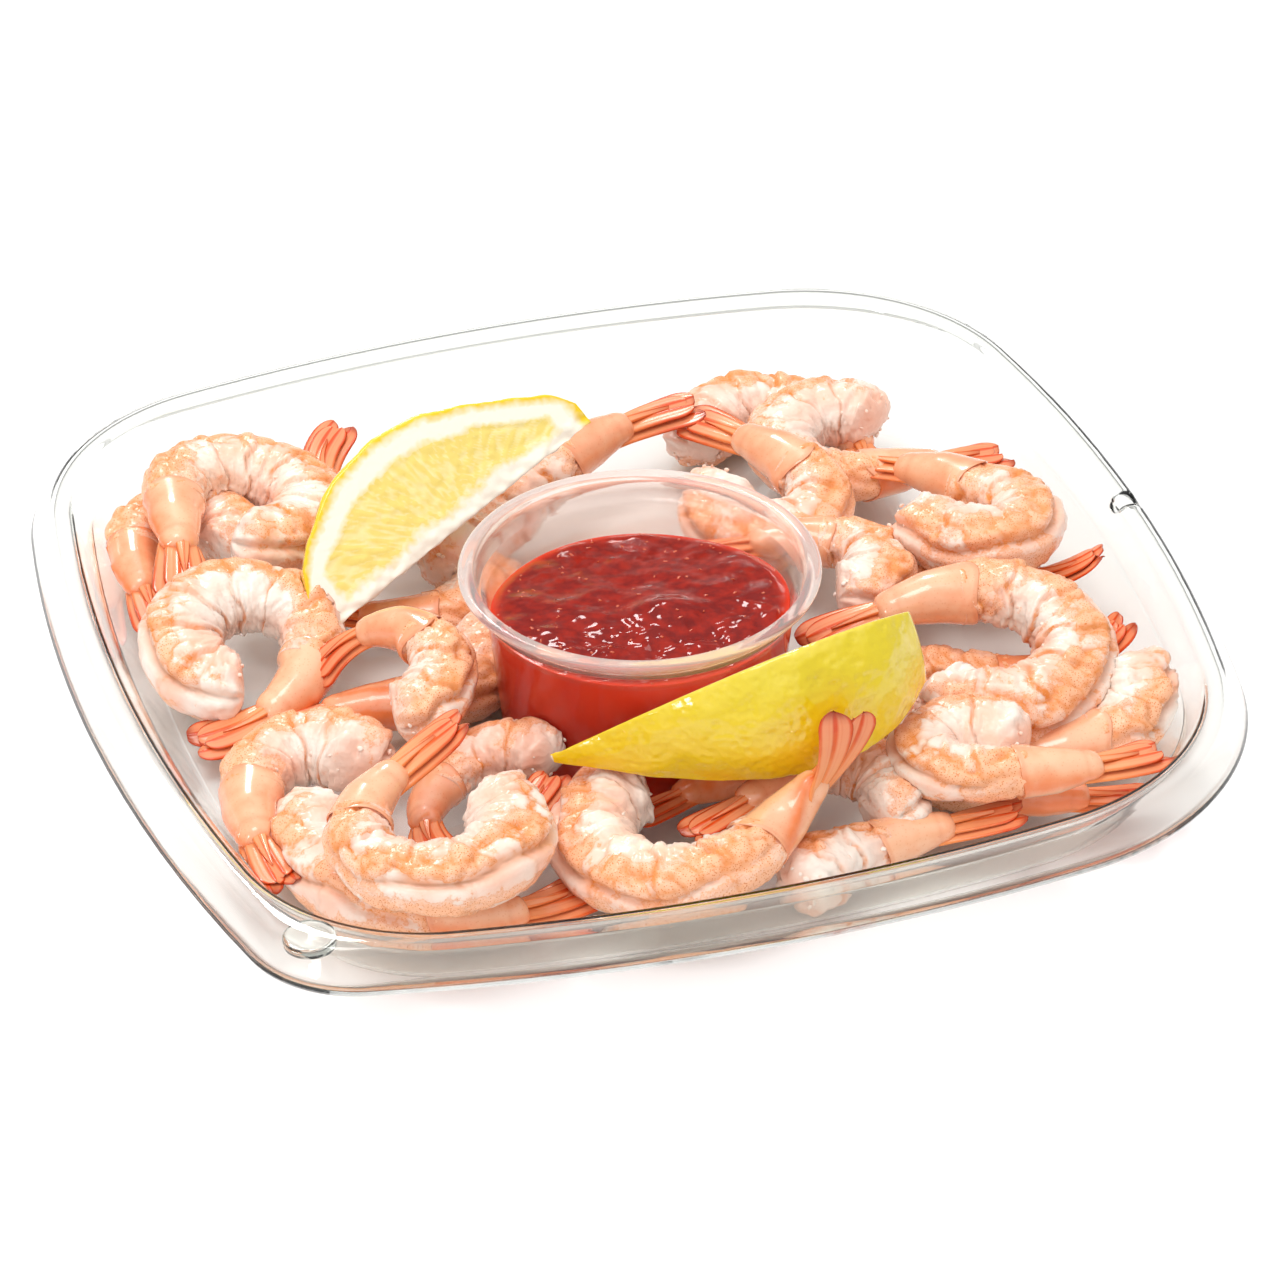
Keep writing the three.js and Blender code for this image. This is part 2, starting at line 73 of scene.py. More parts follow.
class Nodes:
    """A node tree in the making."""

    def __init__(self, tree):
        self.tree = tree

    def add(self, kind, inputs=None, **settings):
        """Add a node and return its outputs; an input is a value, a socket or a list of sockets."""
        made = self.tree.nodes.new(kind)
        for name, value in settings.items():
            setattr(made, name, value)
        for key, value in (inputs or {}).items():
            for source in value if isinstance(value, list) else [value]:
                if isinstance(source, bpy.types.NodeSocket):
                    self.tree.links.new(source, made.inputs[key])
                else:
                    made.inputs[key].default_value = source
        return made.outputs

    def math(self, operation, *values, **settings):
        inputs = dict(enumerate(values))
        return self.add("ShaderNodeMath", inputs, operation=operation, **settings)[0]

    def remap(self, value, low=0.0, high=1.0, to_low=0.0, to_high=1.0, **settings):
        return self.add("ShaderNodeMapRange", {"Value": value, "From Min": low, "From Max": high,
                                               "To Min": to_low, "To Max": to_high}, **settings)[0]


class Finish(Nodes):
    """A material in the making, with no nodes at first."""

    def __init__(self, name):
        self.material = bpy.data.materials.new(name)
        self.material.use_nodes = True
        super().__init__(self.material.node_tree)
        self.tree.nodes.clear()

    @cached_property
    def where(self):
        return self.add("ShaderNodeTexCoord")["Object"]

    def attribute(self, name):
        return self.add("ShaderNodeAttribute", attribute_name=name)["Fac"]

    def noise(self, scale, detail, **more):
        inputs = {"Vector": self.where, "Scale": scale, "Detail": detail, **more}
        return self.add("ShaderNodeTexNoise", inputs)[0]

    def cells(self, scale, **settings):
        inputs = {"Vector": self.where, "Scale": scale}
        return self.add("ShaderNodeTexVoronoi", inputs, **settings)["Distance"]

    def mixed(self, share, first, second):
        """Colour between two others, at a share given by a socket or a number."""
        return self.add("ShaderNodeMix", {0: share, 6: first, 7: second}, data_type="RGBA")[2]

    def bump(self, height, strength, depth_mm=0.3):
        inputs = {"Strength": strength, "Distance": depth_mm * MM, "Height": height}
        return self.add("ShaderNodeBump", inputs)[0]

    def surface(self, colour, roughness, **more):
        """Principled surface; more inputs are named with underscores for spaces."""
        inputs = {"Base Color": colour, "Roughness": roughness}
        inputs.update({key.replace("_", " "): value for key, value in more.items()})
        return self.add("ShaderNodeBsdfPrincipled", inputs)[0]

    def finished(self, shader):
        self.add("ShaderNodeOutputMaterial", {"Surface": shader})
        return self.material

    def lamps_through(self, surface, tint):
        """Finish a clear material so that lamps and bounced light reach what lies behind it."""
        clear = self.add("ShaderNodeBsdfTransparent", {"Color": tint})[0]
        path = self.add("ShaderNodeLightPath")
        straight = self.math("MAXIMUM", path["Is Shadow Ray"], path["Is Diffuse Ray"])
        return self.finished(self.add("ShaderNodeMixShader", {0: straight, 1: surface, 2: clear})[0])


class Growth(Nodes):
    """A Geometry Nodes tree in the making, with a geometry input and output and the named inputs."""

    def __init__(self, name, **inputs):
        super().__init__(bpy.data.node_groups.new(name, "GeometryNodeTree"))
        for label, kind in {"Geometry": "Geometry", **inputs, "Material": "Material"}.items():
            self.tree.interface.new_socket(label, in_out="INPUT", socket_type=f"NodeSocket{kind}")
        self.tree.interface.new_socket("Geometry", in_out="OUTPUT", socket_type="NodeSocketGeometry")
        self.given = self.add("NodeGroupInput")

    def finished(self, geometry, *joined):
        """Make the geometry real and smooth, give it the material and join the rest to it."""
        solid = self.add("GeometryNodeRealizeInstances", {"Geometry": geometry})[0]
        smooth = self.add("GeometryNodeSetShadeSmooth", {"Geometry": solid})[0]
        inputs = {"Geometry": smooth, "Material": self.given["Material"]}
        out = self.add("GeometryNodeSetMaterial", inputs)[0]
        if joined:
            out = self.add("GeometryNodeJoinGeometry", {"Geometry": [out, *joined]})[0]
        self.add("NodeGroupOutput", {"Geometry": out})
        return self.tree


# ---------------------------------------------------------------- meshes and pieces

def mesh_from(name, points, faces, attributes=None, material_index=None):
    """Smooth mesh from points in millimetres, with one float attribute for each name given."""
    mesh = bpy.data.meshes.new(name)
    mesh.from_pydata((np.asarray(points) * MM).tolist(), [], faces)
    mesh.shade_smooth()
    if material_index is not None:
        mesh.polygons.foreach_set("material_index", material_index)
    for key, values in (attributes or {}).items():
        layer = mesh.attributes.new(key, "FLOAT", "POINT")
        layer.data.foreach_set("value", np.asarray(values, dtype=np.float32))
    mesh.validate()
    return mesh


def materials_used(mesh):
    used = np.zeros(len(mesh.polygons), dtype=np.int32)
    mesh.polygons.foreach_get("material_index", used)
    return used


def place_piece(name, mesh, node, materials):
    """Object for a finished mesh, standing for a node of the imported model."""
    used = materials_used(mesh)
    mesh.materials.clear()
    for material in materials:
        mesh.materials.append(material)
    mesh.polygons.foreach_set("material_index", used)
    piece = bpy.data.objects.new(name, mesh)
    bpy.context.scene.collection.objects.link(piece)
    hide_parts(node)
    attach(piece, "root")
    return piece


def grown(mesh, tree, inputs):
    """Plain mesh that a Geometry Nodes tree makes from another mesh."""
    holder = bpy.data.objects.new(tree.name, mesh)
    bpy.context.scene.collection.objects.link(holder)
    modifier = holder.modifiers.new(tree.name, "NODES")
    modifier.node_group = tree
    for item in tree.interface.items_tree:
        if item.in_out == "INPUT" and item.name in inputs:
            modifier[item.identifier] = inputs[item.name]
    graph = bpy.context.evaluated_depsgraph_get()
    result = bpy.data.meshes.new_from_object(holder.evaluated_get(graph), depsgraph=graph)
    bpy.data.objects.remove(holder)
    return result


def face_outwards(mesh):
    work = bmesh.new()
    work.from_mesh(mesh)
    bmesh.ops.remove_doubles(work, verts=work.verts, dist=1e-6)
    bmesh.ops.recalc_face_normals(work, faces=work.faces)
    work.to_mesh(mesh)
    work.free()


def turned(name, profile, centre, segments, **inputs):
    """Mesh made by turning a profile of radius and height, in mm, round an upright axis."""
    line = bpy.data.meshes.new(name)
    edges = [(i, i + 1) for i in range(len(profile) - 1)]
    line.from_pydata([(r * MM, 0, z * MM) for r, z in profile], edges, [])
    inputs.update(Segments=segments, Centre=[value * MM for value in (*centre, 0)])
    mesh = grown(line, revolve_tree(), inputs)
    face_outwards(mesh)
    mesh.shade_smooth()
    return mesh


def tube(rings, start, end):
    """Points and outward faces of a closed skin over rings that run anticlockwise."""
    count, sides = rings.shape[:2]
    points = np.vstack([rings.reshape(-1, 3), start, end])
    near = np.arange(count * sides).reshape(count, sides)
    far = np.roll(near, -1, axis=1)
    quads = np.stack([near[:-1], far[:-1], far[1:], near[1:]], axis=-1).reshape(-1, 4)
    first = [(count * sides, int(far[0, i]), int(near[0, i])) for i in range(sides)]
    last = [(count * sides + 1, int(near[-1, i]), int(far[-1, i])) for i in range(sides)]
    return points, quads.tolist() + first + last


def on_tube(values, shape, ends=(0, 0)):
    """One value for each point of a tube: those of its rings, then its two ends."""
    return np.append(np.broadcast_to(values, shape).ravel(), ends)


def lot(seed):
    """Where in the noise a seed looks."""
    return Vector((seed * 7.31, seed * 3.17, seed * 5.93))


def bumps(points, cell, seed):
    """Smooth noise from -1 to 1 at each point, with lumps of about the given size in mm."""
    offset = lot(seed)
    values = [noise.noise(Vector(p) / cell + offset) for p in points.reshape(-1, 3)]
    return np.array(values).reshape(points.shape[:-1])


def directions_of(points, cell, seed):
    """A smooth random push at each point, for lumps of about the given size in mm."""
    return np.stack([bumps(points, cell, seed + axis * 13) for axis in range(3)], axis=-1)


def cells(points, cell, seed):
    """Distances to the two nearest cell middles, in cells of the given size in mm, and the cell's lot."""
    offset = lot(seed)
    found = []
    for point in points.reshape(-1, 3):
        distances, middles = noise.voronoi(Vector(point) / cell + offset)
        found.append((*distances[:2], 0.5 + 0.5 * noise.cell(middles[0] * 37.0)))
    return np.array(found).reshape(*points.shape[:-1], 3)


def smooth_step(low, high, value):
    share = np.clip((value - low) / (high - low), 0, 1)
    return share * share * (3 - 2 * share)


def bell(value, width):
    """1 at zero, falling off smoothly to both sides over about the given width."""
    return np.exp(-(value / width) ** 2)


# ---------------------------------------------------------------- shape of the tray

RIDGE_HALF_X, RIDGE_HALF_Y = 112.0, 111.9
SIDE_BOW_X, SIDE_BOW_Y = 369.5, 399.0
BOW_CENTRE_X, BOW_CENTRE_Y = RIDGE_HALF_X - SIDE_BOW_X, RIDGE_HALF_Y - SIDE_BOW_Y
TRAY_SHEET = 1.0
NOTCH_Y, NOTCH_HALF, NOTCH_DEPTH = 1.5, 1.8, 1.7
NOTCH_FROM_X, NOTCH_FROM_Z = 100, (18.6, 20.2)

THUMB_DISC_AT = (-95.0, -94.0)
THUMB_DISC_SIDES = 49
THUMB_DISC = [(0, 18.2), (4.6, 18.2), (5.3, 18.7), (5.3, 19.9), (4.9, 20.35), (4.3, 20.4), (3.9, 20.15),
              (0, 20.1)]

# Quadrant signs, corner radius of the ridge and of the bowl, anticlockwise from the back right.
CORNERS = [((1, 1), 48.9, 48.9), ((-1, 1), 48.1, 48.1), ((-1, -1), 20.5, 45.0), ((1, -1), 56.9, 56.9)]

# Inset from the ridge's outer edge, height, and 0 for the bowl's corners or 1 for the ridge's.
TRAY_UPPER = [(21, 1.0, 0), (17.6, 1.7, 0), (15.4, 4.0, 0), (9.2, 13.2, 0), (8.5, 15.4, 0), (5.3, 19.0, 0),
              (4.4, 21.3, 0), (0.4, 21.3, 1), (-1.0, 18.3, 1), (-4.35, 13.7, 1)]
TRAY_LOWER = [(-3.9, 12.7, 1), (-0.1, 17.7, 1), (1.2, 20.3, 1), (3.7, 20.3, 0), (4.5, 18.4, 0),
              (7.6, 14.9, 0), (8.3, 12.7, 0), (14.5, 3.5, 0), (16.9, 0.8, 0), (20.5, 0, 0)]

# Distances from the X and Y axes at which an outline has points, close together for the lid notch.
FINE_REACHES = [0, 0.4, 0.8, 1.2, 1.6, 2.0, 2.4, 2.8, 3.2, 3.6, 4.0, 4.6, 5.4, 7.0]


def corner_centre(radius):
    """Centre of the corner circle that touches both bowed sides from inside."""
    reach_x, reach_y = SIDE_BOW_X - radius, SIDE_BOW_Y - radius
    apart = math.hypot(BOW_CENTRE_X, BOW_CENTRE_Y)
    along = (reach_x ** 2 - reach_y ** 2 + apart ** 2) / (2 * apart)
    across = math.sqrt(reach_x ** 2 - along ** 2)
    x = BOW_CENTRE_X - along * BOW_CENTRE_X / apart - across * BOW_CENTRE_Y / apart
    return x, along * BOW_CENTRE_Y / apart - across * BOW_CENTRE_X / apart


def corner_turns(radius):
    """Directions in which the corner circle meets the right side and the back side."""
    x, y = corner_centre(radius)
    return math.atan2(y, x - BOW_CENTRE_X), math.atan2(y - BOW_CENTRE_Y, x)


def quarter_outline(inset, radius):
    """A quarter of the outline, from the X axis to the Y axis."""
    start, end = corner_turns(radius)
    near = [reach / SIDE_BOW_X for reach in FINE_REACHES]
    far = [math.pi / 2 - reach / SIDE_BOW_Y for reach in FINE_REACHES]
    right = near + list(np.linspace(near[-1], start, 9)[1:-1])
    back = list(np.linspace(end, far[-1], 9)[:-1]) + far[::-1]
    corner = (*corner_centre(radius), radius, np.linspace(start, end, 24)[:-1])
    arcs = [(BOW_CENTRE_X, 0, SIDE_BOW_X, right), corner, (0, BOW_CENTRE_Y, SIDE_BOW_Y, back)]
    return [(x + (reach - inset) * math.cos(t), y + (reach - inset) * math.sin(t))
            for x, y, reach, turns in arcs for t in turns]


def tray_ring(inset, height, ridge_share):
    ring = []
    for (sign_x, sign_y), ridge, bowl in CORNERS:
        radius = bowl + (ridge - bowl) * ridge_share
        placed = [(x * sign_x, y * sign_y, height) for x, y in quarter_outline(inset, radius)]
        if sign_x * sign_y < 0:
            placed.reverse()
        ring += placed[:-1]
    return ring


def rounded_line(points, times):
    """An open line with its corners cut off again and again, its ends kept."""
    line = np.array(points, dtype=float)
    for _ in range(times):
        first, second = line[:-1], line[1:]
        cut = np.stack([0.75 * first + 0.25 * second, 0.25 * first + 0.75 * second], axis=1)
        line = np.vstack([line[:1], cut.reshape(-1, line.shape[1])[1:-1], line[-1:]])
    return line


def bowl_inset(x, y):
    """Distance inwards from the ridge's outer edge, and the direction that leads further in."""
    inset = np.full(x.shape, np.inf)
    inward = np.zeros((*x.shape, 2))
    for (sign_x, sign_y), _, radius in CORNERS:
        here = (np.sign(x) * sign_x >= 0) & (np.sign(y) * sign_y >= 0)
        px, py = x * sign_x, y * sign_y
        centre = corner_centre(radius)
        start, end = corner_turns(radius)
        turn = np.arctan2(py - centre[1], px - centre[0])
        in_corner = (turn > start) & (turn < end)
        for (cx, cy), reach, allowed in (((BOW_CENTRE_X, 0), SIDE_BOW_X, True),
                                         ((0, BOW_CENTRE_Y), SIDE_BOW_Y, True), (centre, radius, in_corner)):
            dx, dy = px - cx, py - cy
            away = np.hypot(dx, dy)
            better = here & allowed & (reach - away < inset)
            inset = np.where(better, reach - away, inset)
            toward = np.stack([-dx * sign_x, -dy * sign_y], axis=-1) / np.maximum(away, 1e-6)[..., None]
            inward = np.where(better[..., None], toward, inward)
    return inset, inward


def inside_bowl(points, clearance=0.3):
    """The points, with those beyond the bowl's wall or floor moved onto it."""
    moved = points.copy()
    profile = np.array([(inset, z) for inset, z, share in TRAY_UPPER if share == 0])
    inset, inward = bowl_inset(moved[:, 0], moved[:, 1])
    needed_inset = np.interp(moved[:, 2] - clearance, profile[:, 1], profile[:, 0]) + clearance
    needed_z = np.interp(-inset, -profile[:, 0], profile[:, 1]) + clearance
    short = np.maximum(needed_inset - inset, 0)
    low = np.maximum(needed_z - moved[:, 2], 0)
    low = np.where(inset < profile[-1, 0] + clearance, np.inf, low)
    beyond = (short > 0) & (low > 0)
    moved[:, :2] += np.where((beyond & (short < low))[:, None], inward * short[:, None], 0)
    moved[:, 2] += np.where(beyond & (short >= low), low, 0)
    moved[:, 2] = np.maximum(moved[:, 2], TRAY_SHEET + clearance)
    return moved


# ---------------------------------------------------------------- shape of the cup and the sauce

CUP_AT = np.array([-4.5, -21.3])
CUP_SHOULDER_Z, CUP_RIM_Z = 36.0, 42.3
CUP_OUTER = [(0, 1.35), (27, 1.35), (28.2, 2.55), (31.4, 36), (34.1, 36.9), (34.8, 40.1), (36.7, 40.6),
             (37, 41.5), (36.4, 42.3)]
CUP_INNER = [(34.2, 42.3), (33.5, 41.5), (33.2, 37.8), (30.5, 36.8), (27.3, 3.45), (26.2, 2.35), (0, 2.35)]

CUP_MIDDLE = 5.0
CUP_WALL_TOP, CUP_WALL_FOOT, CUP_FLOOR = CUP_INNER[3], CUP_INNER[4], CUP_INNER[6]

SAUCE_Z = 34.3
SAUCE_INTO_WALL = 0.3
SAUCE_FLOOR_Z = CUP_FLOOR[1] - SAUCE_INTO_WALL
SAUCE_EDGE_Z = SAUCE_Z - 0.6
SAUCE_SIDES, SAUCE_WALL_ROWS, SAUCE_TOP_ROWS = 240, 12, 90
SAUCE_PEAK_AT, SAUCE_PEAK_HEIGHT, SAUCE_PEAK_SPREAD = (3.6, -6.8), 2.2, 6.0
SAUCE_SLUMP = 3.5


def cup_wall(z):
    """Radius of the sauce at a height: the cup's inner wall and a little more."""
    foot, top = CUP_WALL_FOOT, CUP_WALL_TOP
    return np.interp(z, [foot[1], top[1]], [foot[0], top[0]]) + SAUCE_INTO_WALL


def sauce_drop(y):
    """How far the sauce has slumped: it stands lower at the back of the cup."""
    return SAUCE_SLUMP * smooth_step(-8, 28, y)


def sauce_height(x, y, from_wall):
    peak = SAUCE_PEAK_HEIGHT * bell(np.hypot(x - SAUCE_PEAK_AT[0], y - SAUCE_PEAK_AT[1]), SAUCE_PEAK_SPREAD)
    waves = 0.25 * np.sin(x * 0.42 + 1) * np.cos(y * 0.37) + 0.08 * np.sin(y * 0.8 - x * 0.3)
    where = np.stack([x, y, np.zeros_like(x)], axis=-1)
    front = smooth_step(-2, -16, y)
    pulp = bumps(where, 6.5, 3) * 0.4 + bumps(where, 4.2, 4) * 0.8 * front
    pulp = pulp + bumps(where, 2.0, 5) * (0.08 + 0.3 * front)
    pulp = pulp + bumps(where, 1.1, 9) * 0.14 * front
    calm = smooth_step(0, 2.5, from_wall)
    return SAUCE_Z + (peak + waves + pulp) * calm - (SAUCE_Z - SAUCE_EDGE_Z) * (1 - calm) - sauce_drop(y)


def clear_of_cup(points, clearance=0.25):
    """The points, with those in the cup's wall moved out of it."""
    moved = points.copy()
    outer = np.array(CUP_OUTER[1:])
    away = moved[:, :2] - CUP_AT
    reach = np.hypot(*away.T)
    needed = np.interp(moved[:, 2], outer[:, 1], outer[:, 0]) + clearance
    inside = (reach < needed) & (moved[:, 2] < CUP_RIM_Z + clearance) & (reach > CUP_MIDDLE)
    scale = np.where(inside, needed / np.maximum(reach, 1e-6), 1)
    moved[:, :2] = CUP_AT + away * scale[:, None]
    return moved


def push_out(points, trees, deepest, clearance=0.15):
    """The points, with those a little way inside another piece moved out to its skin."""
    moved = points.copy()
    for low, high, tree in trees:
        for index in np.nonzero(np.all((moved > low) & (moved < high), axis=1))[0]:
            place, normal, _, distance = tree.find_nearest(Vector(moved[index]))
            if distance < deepest and (Vector(moved[index]) - place).dot(normal) < 0:
                moved[index] = place + normal * clearance
    return moved


def search_tree(points, faces):
    tree = BVHTree.FromPolygons([Vector(p) for p in points], faces)
    return points.min(axis=0), points.max(axis=0), tree


# ---------------------------------------------------------------- shape of the lemon wedges

# start, end: the core edge. face, span: direction of the first cut face and the angle to the other.
# outline: share of the core's length and of the fruit's radius there. stem: greener end of the rind.
LEMONS = {
    "left": dict(start=(-59.6, 14.6, 15), end=(4.2, 39.3, 38.4), radius=26.3, face=136, span=58, pith=6.3,
                 unripe=0.55, stem=0.5, end_pith=0.5,
                 outline=[(0, 0.3), (0.04, 0.5), (0.11, 0.68), (0.28, 0.93), (0.45, 1), (0.6, 0.92),
                          (0.72, 0.78), (0.82, 0.62), (0.9, 0.48), (0.96, 0.38), (1, 0.2)]),
    "right": dict(start=(-34, -55.3, 24), end=(40.3, -48, 35.1), radius=27, face=44, span=-60, pith=3.5,
                  unripe=0.95, stem=0, end_pith=0,
                  outline=[(0, 0.06), (0.05, 0.16), (0.11, 0.28), (0.21, 0.5), (0.35, 0.74), (0.49, 0.91),
                           (0.62, 1), (0.75, 0.98), (0.87, 0.88), (0.96, 0.69), (1, 0.58)]),
}
WEDGE_ROWS, FACE_STEPS, RIND_STEPS = 130, 44, 52
RIND_END = FACE_STEPS + RIND_STEPS
WEDGE_COLUMNS = RIND_END + FACE_STEPS


def wedge_grid(lemon):
    """Core direction and length, share along it, outward way and reach of each point, and face normals."""
    start, end = np.array(lemon["start"], float), np.array(lemon["end"], float)
    long = np.linalg.norm(end - start)
    axis = (end - start) / long
    level = -np.cross([0, 0, 1], axis)
    level /= np.linalg.norm(level)
    up = -np.cross(axis, level)
    share = np.linspace(0, 1, WEDGE_ROWS)
    smooth = np.interp(share, *np.array(lemon["outline"]).T)
    for _ in range(6):
        smooth[1:-1] = 0.25 * smooth[:-2] + 0.5 * smooth[1:-1] + 0.25 * smooth[2:]
    out = np.linspace(0, 1, FACE_STEPS, endpoint=False)
    radial = np.concatenate([out, np.ones(RIND_STEPS), 1 - out])
    first, last = math.radians(lemon["face"]), math.radians(lemon["face"] + lemon["span"])
    angle = np.concatenate([np.full(FACE_STEPS, first), np.linspace(first, last, RIND_STEPS),
                            np.full(FACE_STEPS, last)])
    outline = (lemon["radius"] * smooth)[:, None]
    way = level * np.cos(angle)[:, None] + up * np.sin(angle)[:, None]
    sign = np.sign(lemon["span"])
    normals = [-sign * (-level * math.sin(first) + up * math.cos(first)),
               sign * (-level * math.sin(last) + up * math.cos(last))]
    foot = start + (end - start) * share[:, None]
    return axis, long, share, foot, way, outline, outline * radial[None, :], normals


def wedge_faces_eased(rings):
    """The rings, with the edges between rind and cut faces and along the core rounded a little."""
    corner = np.zeros(WEDGE_COLUMNS)
    for middle in (0, FACE_STEPS, RIND_END - 1, WEDGE_COLUMNS - 1):
        corner[[(middle + k) % WEDGE_COLUMNS for k in (-1, 0, 1)]] = 0.6
    for _ in range(2):
        before, after = np.roll(rings, 1, axis=1), np.roll(rings, -1, axis=1)
        rings = rings + corner[None, :, None] * ((before + after) / 2 - rings)
    return rings


def is_cut_face(face):
    """Whether a face of a wedge lies on a cut side or at an end, and not on the rind."""
    columns = [point % WEDGE_COLUMNS for point in face if point < WEDGE_ROWS * WEDGE_COLUMNS]
    across_core = max(columns) == WEDGE_COLUMNS - 1 and min(columns) == 0
    return max(columns) < FACE_STEPS or min(columns) >= RIND_END - 1 or across_core or len(face) == 3


def lemon_wedge(lemon, number, relief):
    """Wedge with pitted rind, pith, and juice sacs that fan out from the middle of the core."""
    axis, long, share, foot, way, outline, reach, normals = wedge_grid(lemon)
    column = np.arange(WEDGE_COLUMNS)
    on_rind, on_second = (column >= FACE_STEPS) & (column < RIND_END), column >= RIND_END
    rings = foot[:, None] + way[None, :] * reach[..., None]

    to_ends = np.minimum(share, 1 - share)[:, None] * long
    closeness = np.minimum(outline - reach, to_ends * 0.8 + lemon["end_pith"])
    closeness = np.minimum(closeness, lemon["pith"] * 0.55 + reach * 0.7)
    apart = 50.0
    flat = np.stack([np.broadcast_to(share[:, None] * long, reach.shape), reach,
                     np.where(on_second, apart, 0.0)[None, :] + np.zeros_like(reach)], axis=-1)
    depth = closeness / (lemon["pith"] + 1.6 * bumps(flat, 9.0, number + 20))
    from_middle = flat[..., 0] - long * 0.5
    spread, far = np.arctan2(reach + 4, from_middle), np.hypot(reach + 4, from_middle)
    sac_space = np.stack([spread * 17, far / 8.5, flat[..., 2]], axis=-1)
    sac_space[..., 0] += 0.35 * bumps(flat, 4.0, number + 31)
    sacs = cells(sac_space, 1.0, number + 5)
    walls = sacs[..., 1] - sacs[..., 0]
    fleshy = smooth_step(1.0, 1.25, depth)
    sac_rise = (0.4 * np.minimum(walls, 0.5) - 0.12) * fleshy + 0.18 * bumps(flat, 1.6, number + 8) * fleshy
    ragged = bumps(flat, 2.2, number + 77) * 0.9 * (1 - smooth_step(0.5, 4, reach))
    lift = (sac_rise + 0.1 * (1 - fleshy)) * smooth_step(0.3, 2.5, reach) + ragged

    glands = cells(rings, 2.0, number + 50)[..., 0]
    rind_rise = (-0.34 * bell(glands, 0.3) + 0.45 * bumps(rings, 5.0, number + 60)
                 + 0.4 * bumps(rings, 11.0, number + 61)) * smooth_step(0, 4, to_ends)
    outwards = np.where(on_second[:, None], normals[1], normals[0])
    rings = rings + np.where(on_rind[None, :, None], way[None] * rind_rise[..., None],
                             outwards[None] * lift[..., None]) * relief
    rings = wedge_faces_eased(rings)
    points, faces = tube(rings, rings[0].mean(axis=0) - axis * 0.4, rings[-1].mean(axis=0) + axis * 0.4)
    if lemon["span"] > 0:
        faces = [face[::-1] for face in faces]
    height = rings[..., 2]
    unripe = smooth_step(height.min(), height.max(), height) * lemon["unripe"]
    unripe = unripe + smooth_step(0.82, 1, share)[:, None] * lemon["stem"]
    attributes = {"depth": on_tube(np.where(on_rind[None, :], 0, depth), reach.shape, (1, 1)),
                  "sac": on_tube(walls, reach.shape, (0.5, 0.5)),
                  "unripe": on_tube(unripe, reach.shape, (0.5, 0.5))}
    return points, faces, attributes, [int(is_cut_face(face)) for face in faces]


# ---------------------------------------------------------------- shape of the shrimps

SHELL_LENGTH = 16.0
SHELL_SIDES = 40
FAN_LENGTH = 19.0
TAIL_LENGTH = SHELL_LENGTH + FAN_LENGTH
SEGMENT_LENGTH = 10.5
BODY_RADII = [(0, 6.4), (0.12, 7.3), (0.35, 7.5), (0.65, 6.8), (1, 5.6)]
BELLY_DEPTH = 0.16
HEAD_OVERHANG = 1.2
HEAD_ROUNDING = 4.2
FIRST_RING = 0.12
BODY_INTO_SHELL = 2.5
FAN_INTO_SHELL = 2.4
LEG_LEAN = 0.62
KNOB_STRETCH, KNOB_SQUEEZE, KNOB_LUMPS = 0.85, 0.42, 1.3
INTO_LEMON, INTO_SHRIMP = 6.0, 4.0

